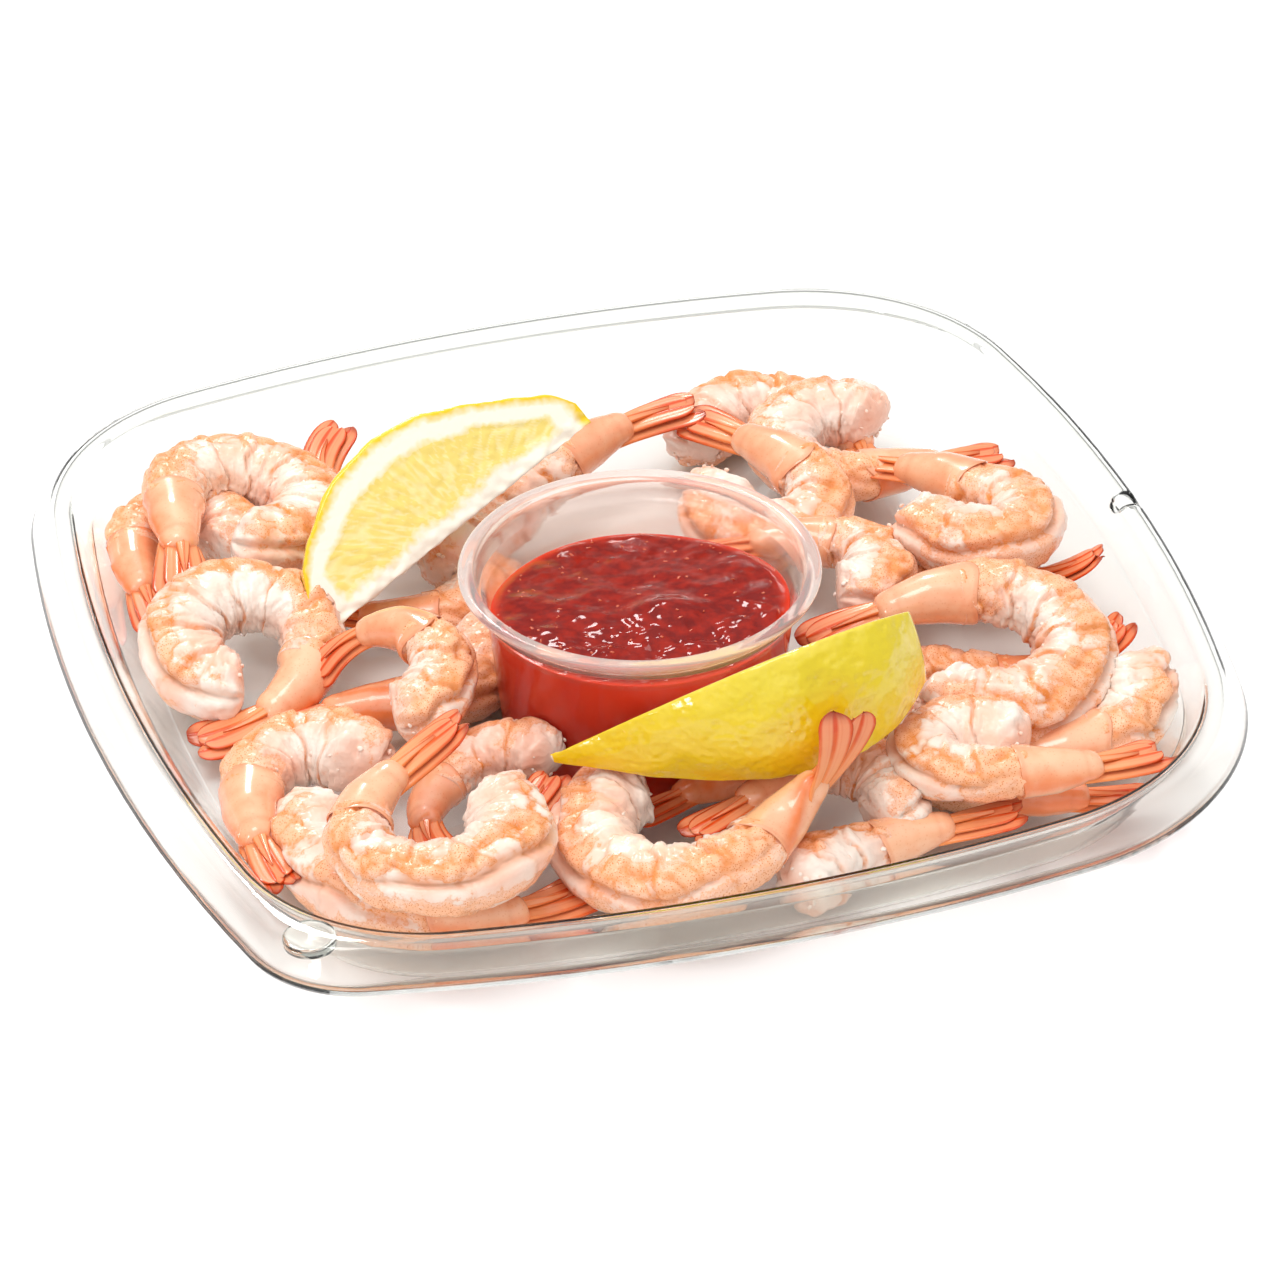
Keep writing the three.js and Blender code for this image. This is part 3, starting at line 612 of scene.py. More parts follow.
# at: middle of the body. heading: the way it runs there, towards the tail. bend: its turn from
# the head end to the tail, anticlockwise from above. fold: how much of the bend gathers at
# mid-body. tilt: slope of the plane it curls in, and the way that plane climbs. tail: how far the
# shell and the fan turn on, in that plane and out of it. twist: how far the fan is turned about its
# own length. late: laid down after the rest. warm: how much redder than the palest it is.
STRAIGHT = dict(fold=0, tilt=(0, 0), tail=(0, 0), twist=0, late=False, warm=0)
SHRIMPS = [
    dict(at=(-51, 76, 12), heading=122, bend=286, length=80, tilt=(12, 180),
         tail=(-10, -9), warm=0.2, size=1),
    dict(at=(-73, 77, 8.5), heading=155, bend=220, length=44, tail=(5, 0), warm=0.5, size=0.9),
    dict(at=(-81.5, 31.5, 17), heading=16, bend=-284, length=74, tilt=(12, 90), tail=(-60, -7), size=1),
    dict(at=(-46, -22, 23), heading=61, bend=113, length=29, tilt=(12, 45),
         tail=(90, -45), warm=0.6, size=0.9),
    dict(at=(-33, -3, 8.6), heading=225, bend=-125, length=37, tail=(25, 0), warm=0.8, size=0.95),
    dict(at=(-76, -19, 12), heading=172, bend=172, length=38, tilt=(6, 0), tail=(18, 3), warm=0.3, size=1),
    dict(at=(-62.5, -88.5, 23), heading=182, bend=-240, length=68, tail=(-74, 41), size=1),
    dict(at=(-82.5, -61, 8.8), heading=285, bend=104, length=52, tail=(50, 0), size=1),
    dict(at=(-30.5, -83, 13), heading=295, bend=213, length=70, tilt=(9, 0), tail=(-78, 82), twist=-60,
         size=1.05),
    dict(at=(-40, -34, 13), heading=170, bend=115, length=28, tilt=(12, 0),
         tail=(55, 15), warm=0.4, size=0.8),
    dict(at=(-53.5, -69.5, 8), heading=44, bend=0, length=16, tilt=(12, 44), warm=0.6, size=0.7),
    dict(at=(31, -65.5, 13), heading=126, bend=179, length=36, tilt=(8, 170), tail=(-22, -20), warm=0.5,
         size=0.88),
    dict(at=(27.5, -44.5, 7.8), heading=194, bend=3, length=42, tail=(5, 0), warm=1, size=0.82),
    dict(at=(14, -87.5, 9), heading=21, bend=-23, length=22, tail=(-29, 15), size=0.9),
    dict(at=(38.5, -69.5, 19), heading=247, bend=206, length=51, fold=0.95, tail=(21, -3), size=0.9),
    dict(at=(48, -68, 8.2), heading=322, bend=10, length=22, tail=(30, 0), warm=0.6, size=0.85),
    dict(at=(90, -60, 12), heading=234, bend=-96, length=26, tilt=(8, 60), tail=(-50, 0), size=1),
    dict(at=(80, -50, 17), heading=57, bend=242, length=76, tilt=(12, 90),
         tail=(0, -27), warm=0.2, size=1.05),
    dict(at=(84.2, -5, 21), heading=31, bend=191, length=56, fold=0.8, tilt=(4, 270),
         tail=(14, -6), warm=0.3, size=1),
    dict(at=(65.5, 6, 8.2), heading=330, bend=0, length=20, tail=(0, 45), warm=0.5, size=0.9),
    dict(at=(58.5, -32, 8.4), heading=336, bend=10, length=22, tail=(25, 50), warm=1, size=0.85),
    dict(at=(55, -1, 17), heading=78, bend=165, length=33, tail=(20, 0), warm=0.4, size=0.9),
    dict(at=(39.5, 22, 12), heading=350, bend=261, length=53, tilt=(16, 60),
         tail=(0, -20), warm=0.25, size=1),
    dict(at=(49, 80.5, 8.8), heading=10, bend=-140, length=38, tail=(-60, 0), size=0.95),
    dict(at=(50.5, 57, 14), late=True, heading=246, bend=238, length=59,
         tail=(-3, -4), warm=0.2, size=0.93),
    dict(at=(-13.5, 50.5, 12), heading=34.5, bend=-9, length=43, tilt=(8, 30),
         tail=(-37, 0), warm=0.5, size=1),
    dict(at=(-29.5, 61, 10), heading=178, bend=-90, length=24, tail=(-110, 25), warm=0.5, size=0.85),
    dict(at=(-25, 25.5, 8.3), heading=215, bend=-88, length=22, tail=(-55, 0), warm=0.5, size=0.85),
]

# Sideways reach at the tip, half width, length share, height over the middle, for each blade.
BLADES = [(-2.7, 3.5, 1.0, -0.8), (2.8, 3.3, 0.94, -0.6), (-0.9, 3.2, 0.9, -0.05), (1.3, 3.0, 0.85, 0.15),
          (0.1, 2.0, 0.66, 0.85)]
SPIKE_SHARE = 0.8


def angle_from(angle, middle):
    """Signed difference of two angles in radians, the short way round."""
    return (angle - middle + math.pi) % TURN - math.pi


class Spine:
    """Middle line of one shrimp, measured in mm from mid-body towards the tail."""

    STEP = 0.25
    SPARE = 4

    def __init__(self, shrimp):
        self.shrimp, self.size, self.length = shrimp, shrimp["size"], shrimp["length"]
        self.belly = -1 if shrimp["bend"] < 0 else 1
        self.hollow = np.clip(shrimp["bend"] / 90, -1, 1) * BELLY_DEPTH
        heading, tilt, rise = np.radians([shrimp["heading"], *shrimp["tilt"]])
        self.out = np.array([-math.sin(tilt) * math.cos(rise), -math.sin(tilt) * math.sin(rise),
                             math.cos(tilt)])
        forward = np.array([math.cos(heading), math.sin(heading),
                            math.tan(tilt) * math.cos(heading - rise)])
        self.forward = forward / np.linalg.norm(forward)
        self.left = np.cross(self.out, self.forward)
        reach = self.length / 2
        last = reach + TAIL_LENGTH * self.size + self.SPARE
        self.stations = np.arange(-reach - self.SPARE, last, self.STEP)
        steps = self.travel(self.stations[:-1] + self.STEP / 2) * self.STEP
        places = np.vstack([np.zeros(3), np.cumsum(steps, axis=0)])
        middle = [np.interp(0, self.stations, places[:, axis]) for axis in range(3)]
        self.places = places - middle + np.array(shrimp["at"])

    def travel(self, along):
        tail_turn, tail_climb = self.shrimp["tail"]
        beyond = np.maximum(0, along - self.length / 2) / (TAIL_LENGTH * self.size)
        share = np.minimum(along, self.length / 2) / self.length
        folded = self.shrimp["fold"] * np.sin(TURN * share) / TURN
        turn = np.radians(self.shrimp["bend"] * (share + folded) + tail_turn * beyond)[:, None]
        climb = np.radians(tail_climb * beyond)[:, None]
        level = self.forward * np.cos(turn) + self.left * np.sin(turn)
        return level * np.cos(climb) + self.out * np.sin(climb)

    def frames(self, along):
        """Place, side direction and over direction at each distance."""
        place = np.stack([np.interp(along, self.stations, self.places[:, axis]) for axis in range(3)],
                         axis=-1)
        travel = self.travel(along)
        side = np.cross(self.out, travel)
        side /= np.linalg.norm(side, axis=1)[:, None]
        up = np.cross(travel, side)
        shell_share = np.clip((along - self.length / 2) / (SHELL_LENGTH * self.size), 0, 1)
        twist = np.radians(self.shrimp["twist"]) * shell_share[:, None]
        return place, side * np.cos(twist) + up * np.sin(twist), up * np.cos(twist) - side * np.sin(twist)

    def swept(self, along, across, over):
        """Points at the given sideways and upward distances, one row for each place along."""
        place, side, up = self.frames(along)
        return place[:, None] + side[:, None] * across[..., None] + up[:, None] * over[..., None]

    def ends(self, *along):
        return [self.frames(np.array([place]))[0] for place in along]

    def around(self, sides):
        """Angles of a ring's points, and the same angles measured from the middle of the back."""
        turn = TURN * (np.arange(sides) + 0.5) / sides
        return turn, -angle_from(turn, math.pi) if self.belly > 0 else angle_from(turn, 0)


def shrimp_body(spine, seed, settings):
    """Peeled body: segments, the cut along the back and the torn head end."""
    shrimp, size, length, hollow = spine.shrimp, spine.size, spine.length, spine.hollow
    head, tail = -length / 2 - HEAD_OVERHANG, length / 2 + BODY_INTO_SHELL
    rows = int((tail - head) / settings.mesh_step_mm)
    along = head + FIRST_RING + (tail - head - FIRST_RING) * np.linspace(0, 1, rows) ** 1.04
    turn, back = spine.around(settings.body_sides)
    share = np.clip((along + length / 2) / length, 0, 1)
    from_head = along - head
    radius = np.interp(share, *np.array(BODY_RADII).T) * size
    radius = radius * (1 - (1 - np.clip(from_head / HEAD_ROUNDING, 0, 1)) ** 2.2) ** (1 / 2.2)

    # The cut along the back, its lips, and how far a point is from the belly and the flanks.
    rng = np.random.default_rng(seed)
    wander = 0.12 * np.sin(share * 9 + rng.uniform(0, 6)) + 0.07 * np.sin(share * 23 + rng.uniform(0, 6))
    cut_at = math.radians(25) + 1.5 * wander
    from_cut = angle_from(back[None, :], cut_at[:, None])
    open_cut = (0.35 + 0.65 * smooth_step(0.95, 0.55, share))[:, None]
    groove = bell(from_cut, 0.13) * open_cut
    lips = bell(from_cut - 0.3, 0.16) + 0.5 * bell(from_cut + 0.28, 0.16)
    flank = 0.4 + 0.6 * smooth_step(-0.05, 0.25, from_cut)
    underside = smooth_step(-0.3, -0.9, back)[None, :]
    meat_side = np.maximum(flank * smooth_step(-0.6, 0.1, back)[None, :], underside)

    # Segments with wandering creases; flat is the skin rolled out, in mm.
    segment = length / max(3, round(length / (SEGMENT_LENGTH * size)))
    sway = 1.1 * np.sin(back * 2 + rng.uniform(0, 6)) + 0.8 * np.sin(back * 5 + rng.uniform(0, 6))
    grid = (rows, settings.body_sides)
    flat = np.stack([np.broadcast_to(along[:, None], grid), np.broadcast_to((back * 6)[None, :], grid),
                     np.full(grid, float(seed))], axis=-1)
    astray = 1.5 * bumps(flat, 4.5, seed + 44) + 0.5 * bumps(flat, 1.6, seed + 45)
    count = (along + length / 2)[:, None] / segment + (sway[None, :] + astray) * size / segment
    phase = count - np.floor(count)
    edge_distance = np.minimum(phase, 1 - phase) * segment
    towards_belly = 0.55 + 0.45 * np.cos(back - math.pi)[None, :]
    pleat = 0.75 * bell(edge_distance, 0.62 * size) * (0.6 + towards_belly * 0.6)
    pleat = pleat * (0.7 + 0.5 * bumps(flat, 4.0, seed + 33))
    overlap = (1 - phase) ** 1.4 * 0.75

    # Lumps, fibres, flakes of meat and torn strips.
    lumps = bumps(flat, 5.5, seed) * 0.55 + bumps(flat, 2.3, seed + 40) * 0.28
    fibres = bumps(flat * np.array([0.3, 1, 1]), 1.1, seed + 70) * 0.14
    bent = flat + 1.3 * directions_of(flat, 3.0, seed + 21)
    flakes = cells(bent * np.array([0.72, 1, 1]), 3.6, seed + 91)
    flake_edge = bell(flakes[..., 1] - flakes[..., 0], 0.11) * meat_side
    at_head = bell(from_head, 5.5)[:, None]
    ragged = 2.4 * (0.45 - cells(flat, 3.2, seed + 90)[..., 0]) + 0.5 * bumps(flat, 1.3, seed + 61)
    strip_at = cut_at[:, None] + 0.85 + 0.35 * bumps(flat, 9.0, seed + 55)
    torn = smooth_step(-0.1, 0.25, bumps(flat, 6.0, seed + 56))
    strip = bell(angle_from(back[None, :], strip_at), 0.1) * torn
    rise = (meat_side * (overlap - pleat) + lumps + fibres - 0.7 * strip - 0.38 * flake_edge
            + 0.6 * (flakes[..., 2] - 0.5) * meat_side - 1.75 * groove + 0.42 * lips * open_cut
            + at_head * ragged - 0.5 * bell(angle_from(back, math.pi), 0.25)[None, :])
    fade = (smooth_step(0, 1.5, from_head) * smooth_step(length / 2 + 2.4, length / 2 - 0.5, along))[:, None]
    rise = rise * size * fade * settings.relief

    across = (radius * (1 + abs(hollow)))[:, None] * np.cos(turn) + (radius * hollow)[:, None]
    over = (radius * 0.97)[:, None] * np.sin(turn) + rise * np.sin(turn)
    rings = spine.swept(along, across + rise * np.cos(turn), over)
    points, faces = tube(rings, *spine.ends(head, tail))

    # Colour: orange on the back and towards the tail, pale at the torn end; near the floor the orange is
    # painted shade.
    patch = bumps(flat, 7.0, seed + 11) * 0.55 + bumps(flat, 2.4, seed + 12) * 0.35
    upper_back = bell(from_cut - 0.55, 0.6) * flank
    lower_back = 0.75 * bell(back[None, :] + 0.5, 0.6)
    chosen = smooth_step(0.35, 0.6, flakes[..., 2])
    by_flake = 0.35 + 0.75 * chosen + 0.3 * (1 - phase)
    flush = (upper_back + lower_back) * (0.45 + 0.55 * share[:, None]) * by_flake
    flush = flush + patch * 0.45 * meat_side
    flush = flush * (1 - 0.75 * at_head) + 0.3 * smooth_step(0.7, 1, share)[:, None] + 0.4 * shrimp["warm"]
    # Painted warm shade: the lower a point lies, under 9 mm over the floor, the more orange it gets.
    flush = flush + 0.45 * smooth_step(9.0, 3.0, rings[..., 2]) + 0.12
    line = bell(edge_distance, 0.55 * size) * (0.45 + 0.75 * smooth_step(-0.1, 0.3, patch))
    tint = np.clip(line * meat_side + groove * 0.7 + 0.7 * strip + 0.95 * flake_edge * upper_back, 0, 1)
    tint = tint * (1 - at_head)
    return points, faces, {"flush": on_tube(flush, grid), "crease": on_tube(tint, grid),
                           "along": on_tube(along[:, None], grid)}


def shrimp_shell(spine, seed):
    """Last segment, still in its shell, with a lip where the shell ends over the body."""
    size, start = spine.size, spine.length / 2
    turn, back = spine.around(SHELL_SIDES)
    reach = SHELL_LENGTH * size
    inner = [(0.9, -0.6), (-0.35, -0.3), (-0.75, 0.08)]
    outer = [(share * reach, 0.16) for share in np.linspace(-0.03, 1.0, 30)]
    closing = [(1.05 * reach, -0.15 * size), (1.1 * reach, -0.5 * size), (1.14 * reach, -1.2 * size),
               (1.16 * reach, -2.2 * size)]
    forward, swell = np.array(inner + outer + closing).T
    share = np.clip(forward / reach, 0, 1)
    hollow = spine.hollow * (1 - smooth_step(0, 0.5, share))
    across = np.interp(share, [0, 0.5, 0.9, 1], [5.75, 5.3, 4.0, 3.8]) * size * (1 + np.abs(hollow)) + swell
    over = np.interp(share, [0, 0.5, 1], [5.6, 4.9, 3.1]) * size + swell
    shift = 5.6 * size * hollow
    hem = 0.9 * np.cos(2 * back) + 0.5 * np.cos(3 * back + seed)
    along = start + forward[:, None] + hem[None, :] * bell(np.maximum(forward, 0), 4)[:, None] * size
    keel = (0.55 * bell(back, 0.3) * size)[None, :] * smooth_step(0.1, 0.7, share)[:, None]
    rise = keel - 0.05 * size * bell(share - 0.9, 0.04)[:, None]
    rings = []
    for i, (a, o) in enumerate(zip(across, over)):
        place, side, up = spine.frames(along[i])
        rings.append(place + (side * ((a + rise[i]) * np.cos(turn) + shift[i])[:, None]
                              + up * ((o + rise[i]) * np.sin(turn))[:, None]))
    rings = np.array(rings)
    points, faces = tube(rings, *spine.ends(start + 1.0, start + 1.16 * reach))
    grid = rings.shape[:2]
    along_shell = on_tube(forward[:, None], grid, (reach, reach))
    hem_line = 0.4 * bell(along_shell + 0.2, 0.5) + 0.2 * bell(along_shell / reach - 0.9, 0.04)
    back_line = on_tube(bell(back, 0.4)[None, :], grid)
    return points, faces, {"flush": 0.12 + 0.6 * back_line + 0.5 * spine.shrimp["warm"],
                           "crease": np.clip(hem_line, 0, 1), "along": along_shell / reach}


def shrimp_fan(spine, seed):
    """Tail fan: four ribbed blades and the pointed spike over them."""
    size, warmth = spine.size, 0.35 * spine.shrimp["warm"]
    rng = np.random.default_rng(seed + 500)
    start = spine.length / 2 + SHELL_LENGTH * size - FAN_INTO_SHELL * size
    spread = rng.uniform(0.8, 1.15)
    t = np.concatenate([[0], np.linspace(0.02, 0.9, 18), [0.935, 0.965, 0.985, 0.996]])
    w = np.linspace(1, -1, 17)
    around = np.concatenate([w, w[::-1][1:-1]])
    found = []
    for reach, half_width, share, height in BLADES:
        if share < SPIKE_SHARE:
            width = half_width * (1.02 - t) ** 0.75
        else:
            width = half_width * (0.72 + 0.28 * np.sin(np.minimum(t / 0.7, 1) * math.pi / 2))
            width = width * np.sqrt(np.clip(1 - np.clip((t - 0.78) / 0.222, 0, 1) ** 2.2, 0.0, 1))
        lift = rng.uniform(-0.25, 0.25)
        centre = reach * spread * (0.5 + 0.62 * t ** 0.85)
        droop = height * (2.2 - 1.35 * t) + lift * t
        ribs = 0.04 * np.cos(w * math.pi * 5) + 0.22 * bell(w, 0.16)
        cup = (-0.35 * np.abs(w) ** 2 * (0.4 + 0.6 * t[:, None])
               + 0.35 * np.sign(reach) * w[None, :] * t[:, None])
        middle = droop[:, None] + cup + ribs[None, :] * smooth_step(0.05, 0.2, t)[:, None]
        thick = (1.5 - 1.25 * t ** 0.45)[:, None] * np.sqrt(np.clip(1 - w ** 4, 0, 1))[None, :]
        thick = thick + 0.06
        bottom = (middle - thick / 2)[:, ::-1][:, 1:-1]
        over = np.concatenate([middle + thick / 2, bottom], axis=1) * size
        across = (centre[:, None] + width[:, None] * around[None, :]) * size
        rings = spine.swept(start + t * (FAN_LENGTH + 2.6) * share * size, across, over)
        points, faces = tube(rings, rings[0].mean(axis=0), rings[-1].mean(axis=0))
        edges = smooth_step(0.72, 0.95, np.abs(around))
        rib = bell(around, 0.2) + edges + 0.25 * np.cos(around * math.pi * 5)
        blade = on_tube((t * share)[:, None], across.shape, (0, share)) + warmth
        found.append((points, faces, {"flush": on_tube(rib[None, :], across.shape), "along": blade,
                                      "crease": smooth_step(0.86, 1.0, blade - warmth)}))
    return found


def nub_places(spine, seed):
    """Where the leg stubs and the torn knobs of the head end sit, their directions and sizes."""
    size, length, belly, hollow = spine.size, spine.length, spine.belly, abs(spine.hollow)
    rng = np.random.default_rng(seed + 900)
    spots = []
    for share in np.arange(0.12, 0.95, SEGMENT_LENGTH * size / length * 0.95):
        for lean in (-LEG_LEAN, LEG_LEAN):
            spots.append((share + rng.uniform(-0.015, 0.015), lean + rng.uniform(-0.1, 0.1), 0.55, 0.0))
    for lean in np.arange(-2.9, 2.9, 0.24):
        spots.append((0.0, lean + rng.uniform(-0.1, 0.1), rng.uniform(0.3, 0.6), 1.0))
    points, directions = [], []
    for share, lean, _, at_head in spots:
        along = np.array([(share - 0.5) * length + at_head * rng.uniform(-0.5, 3.2)])
        place, side, up = (value[0] for value in spine.frames(along))
        radius = np.interp(share, *np.array(BODY_RADII).T) * size * (0.86 if at_head else 1)
        across = radius * (1 + hollow) * math.cos(lean) + radius * hollow
        points.append(place + belly * side * across * 0.93 + up * radius * 0.9 * math.sin(lean))
        directions.append(belly * side * math.cos(lean) + up * math.sin(lean)
                          - spine.travel(along)[0] * (0.5 * at_head))
    return np.array(points), np.array(directions), np.array([knob * size for _, _, knob, _ in spots])


# ---------------------------------------------------------------- node trees that make geometry

def knob_tree():
    """Small stretched knobs, one at each point, leaning the way the point says."""
    tree = Growth("shrimp_knobs", Stretch="Float", Seed="Int")
    lean = tree.add("GeometryNodeInputNamedAttribute", {"Name": "direction"}, data_type="FLOAT_VECTOR")[0]
    width = tree.add("GeometryNodeInputNamedAttribute", {"Name": "knob"}, data_type="FLOAT")[0]
    turned_up = tree.add("FunctionNodeAlignRotationToVector", {"Vector": lean}, axis="Z")[0]
    vary = tree.add("FunctionNodeRandomValue", {2: 0.8, 3: 1.2, "Seed": tree.given["Seed"]},
                    data_type="FLOAT")[1]
    base = tree.math("MULTIPLY", width, vary)
    tall = tree.math("MULTIPLY", base, tree.given["Stretch"])
    scale = tree.add("ShaderNodeCombineXYZ", {0: base, 1: base, 2: tall})[0]
    ball = tree.add("GeometryNodeMeshIcoSphere", {"Radius": 1.0, "Subdivisions": 3})[0]
    return tree.finished(tree.add("GeometryNodeInstanceOnPoints", {
        "Points": tree.given["Geometry"], "Instance": ball, "Rotation": turned_up, "Scale": scale})[0])


def revolve_tree():
    """Turn a profile of radius and height round an upright axis."""
    tree = Growth("turned_profile", Segments="Int", Centre="Vector")
    profile = tree.given["Geometry"]
    count = tree.add("GeometryNodeAttributeDomainSize", {"Geometry": profile},
                     component="MESH")["Point Count"]
    sheet = tree.add("GeometryNodeMeshGrid", {"Size X": 1.0, "Size Y": 1.0, "Vertices X": count,
                                              "Vertices Y": tree.given["Segments"]})[0]
    here = tree.add("GeometryNodeInputPosition")[0]
    parts = tree.add("ShaderNodeSeparateXYZ", {0: here})
    step = tree.math("MULTIPLY", tree.math("ADD", parts[0], 0.5), tree.math("SUBTRACT", count, 1.0))
    index = tree.add("FunctionNodeFloatToInt", {0: step}, rounding_mode="ROUND")[0]
    sampled = tree.add("GeometryNodeSampleIndex", {"Geometry": profile, "Value": here, "Index": index},
                       data_type="FLOAT_VECTOR", domain="POINT")[0]
    around = tree.math("MULTIPLY", parts[1], TURN)
    spun = tree.add("ShaderNodeVectorRotate", {"Vector": sampled, "Angle": around}, rotation_type="Z_AXIS")[0]
    centred = tree.add("ShaderNodeVectorMath", {0: spun, 1: tree.given["Centre"]}, operation="ADD")[0]
    shaped = tree.add("GeometryNodeSetPosition", {"Geometry": sheet, "Position": centred})[0]
    return tree.finished(tree.add("GeometryNodeMergeByDistance", {"Geometry": shaped, "Distance": 1e-6})[0])


def crumb_tree():
    """Scatter grated bits over the parts of a surface that face up, half sunk into it."""
    tree = Growth("sauce_bits", **{"Bits per square metre": "Float", "Bit size": "Float", "Seed": "Int"})
    body, seed = tree.given["Geometry"], tree.given["Seed"]
    upward = tree.add("ShaderNodeSeparateXYZ", {0: tree.add("GeometryNodeInputNormal")[0]})[2]
    facing = tree.add("FunctionNodeCompare", {0: upward, 1: 0.6}, data_type="FLOAT",
                      operation="GREATER_THAN")[0]
    spots = tree.add("GeometryNodeDistributePointsOnFaces", {
        "Mesh": body, "Selection": facing, "Density": tree.given["Bits per square metre"], "Seed": seed},
        distribute_method="RANDOM")[0]
    shapes, turns = ((0.5, 0.35, 0.22), (1.5, 0.85, 0.5)), ((-0.3, -0.3, 0.0), (0.3, 0.3, 6.28))
    vary, spin = (tree.add("FunctionNodeRandomValue", {0: low, 1: high, "Seed": seed},
                           data_type="FLOAT_VECTOR")[0] for low, high in (shapes, turns))
    scale = tree.add("ShaderNodeVectorMath", {0: vary, "Scale": tree.given["Bit size"]},
                     operation="SCALE")[0]
    bit = tree.add("GeometryNodeMeshIcoSphere", {"Radius": 1.0, "Subdivisions": 2})[0]
    placed = tree.add("GeometryNodeInstanceOnPoints", {"Points": spots, "Instance": bit, "Rotation": spin,
                                                       "Scale": scale})[0]
    return tree.finished(placed, body)


# ---------------------------------------------------------------- materials

def clear_pet(settings):
    """Clear PET sheet, thermoformed: water-clear and glossy, faintly wavy where it was stretched."""
    pet = Finish("clear_pet_thermoformed")
    waves = pet.bump(pet.noise(90.0, 1.0), 0.12, 0.6)
    surface = pet.surface(settings.sheet_colour, 0.03, IOR=1.42, Transmission_Weight=1.0, Normal=waves)
    return pet.lamps_through(surface, (0.98, 0.98, 0.98, 1))


def milky_pp(settings):
    """Milky polypropylene, injection moulded: lets light through and blurs it, satin on the outside."""
    plastic = Finish("milky_polypropylene_moulded")
    height = plastic.add("ShaderNodeSeparateXYZ", {0: plastic.where})[2]
    clear = plastic.remap(height, CUP_SHOULDER_Z * MM, (CUP_RIM_Z - 1.5) * MM, 0.985, settings.clearness)
    surface = plastic.surface(settings.cup_colour, 0.1, IOR=1.25, Transmission_Weight=clear)
    return plastic.lamps_through(surface, (0.93, 0.91, 0.9, 1))


def cocktail_sauce(settings):
    """Tomato sauce with horseradish: deep glossy red, brighter where it lies shallow at the edge, with
    painted glow on its sides where light comes through the cup wall.
    """
    sauce = Finish("tomato_horseradish_sauce")
    pulp = sauce.remap(sauce.noise(420.0, 4.0), 0.38, 0.66)
    body = sauce.mixed(pulp, settings.deep_colour, settings.bright_colour)
    # Brighter red where the sauce is shallow at its edge, and painted glow on the sides against the cup wall.
    colour = sauce.mixed(sauce.attribute("thin"), body, settings.edge_and_glow_colour)
    grain = sauce.bump(sauce.noise(700.0, 2.0), 0.06)
    return sauce.finished(sauce.surface(colour, 0.08, IOR=1.4, Specular_IOR_Level=0.3, Normal=grain))


def grated_bits(settings):
    """Grated horseradish and seeds soaked in the sauce: pale orange, wet."""
    bits = Finish("grated_horseradish")
    return bits.finished(bits.surface(settings.bit_colour, 0.25, Coat_Weight=0.5, Coat_Roughness=0.1))


def lemon_rind(settings):
    """Waxed lemon zest: saturated yellow, greener where it ripened least, pitted with oil glands."""
    zest = Finish("waxed_lemon_zest")
    cloudy = zest.math("MULTIPLY_ADD", zest.noise(130.0, 3.0), 0.5, zest.attribute("unripe"))
    colour = zest.mixed(zest.remap(cloudy, 0.2, 1.2), settings.rind_colour, settings.unripe_colour)
    glands = zest.bump(zest.cells(720.0, feature="SMOOTH_F1"), 0.5, 0.4)
    return zest.finished(zest.surface(colour, 0.2, IOR=1.45, Coat_Weight=1.0, Coat_Roughness=0.05,
                                      Normal=glands))


def lemon_flesh(settings):
    """Cut lemon: thin yellow zest line, matt white pith, then wet juice sacs with pale skins."""
    cut = Finish("cut_lemon_flesh")
    fuzz = cut.noise(600.0, 1.0)
    depth = cut.math("MULTIPLY_ADD", fuzz, 0.35, cut.attribute("depth"))
    fleshy = cut.remap(depth, 1.05, 1.3)
    flesh = cut.mixed(cut.remap(cut.attribute("sac"), 0.0, 0.22), settings.sac_wall_colour,
                      settings.flesh_colour)
    inner = cut.mixed(fleshy, settings.pith_colour, flesh)
    colour = cut.mixed(cut.remap(depth, 0.62, 0.28), inner, settings.rind_colour)
    wet = cut.remap(fleshy, to_low=0.6, to_high=0.22)
    return cut.finished(cut.surface(colour, wet, Normal=cut.bump(fuzz, 0.4)))


def shrimp_meat(settings):
    """Cooked shrimp meat: white and wet, flushed orange in speckled patches, and more orange low down as
    painted shade.
    """
    meat = Finish("cooked_shrimp_meat")
    jagged = meat.noise(380.0, 3.0, Roughness=0.7)
    pushed = meat.math("MULTIPLY_ADD", jagged, 0.9, meat.attribute("flush"))
    share = meat.remap(pushed, 0.72, 1.25, interpolation_type="SMOOTHSTEP")
    pink = meat.remap(meat.noise(110.0, 0.0), 0.35, 0.7)
    pale = meat.mixed(pink, settings.meat_colour, settings.pink_colour)
    flushed = meat.mixed(share, pale, settings.flush_colour)
    # Pigment spots under a tenth of a millimetre are drawn three times as coarse, so that they show.
    spotted = meat.math("MULTIPLY", meat.remap(meat.cells(2200.0), 0.36, 0.2), share)
    speckled = meat.mixed(spotted, flushed, settings.speckle_colour)
    # Patches end in a darker line, and so do the folds.
    off_edge = meat.math("ABSOLUTE", meat.math("SUBTRACT", share, 0.4))
    patch_edge = meat.remap(off_edge, 0.0, 0.2, 0.4, 0.0)
    folds = meat.math("MULTIPLY_ADD", meat.attribute("crease"), 0.85, patch_edge, use_clamp=True)
    colour = meat.mixed(folds, speckled, settings.crease_colour)
    fibres = meat.bump(meat.noise(1300.0, 0.0), 0.3)
    return meat.finished(meat.surface(colour, 0.24, IOR=1.42, Normal=fibres))


def shrimp_fray(settings):
    """Torn ends and leg stubs: the same white meat, rougher and without the flush."""
    meat = Finish("cooked_shrimp_meat_torn")
    cloud = meat.noise(500.0, 3.0)
    colour = meat.mixed(meat.remap(cloud, 0.4, 0.7), settings.meat_colour, settings.pink_colour)
    return meat.finished(meat.surface(colour, 0.45, IOR=1.4, Normal=meat.bump(cloud, 0.4)))


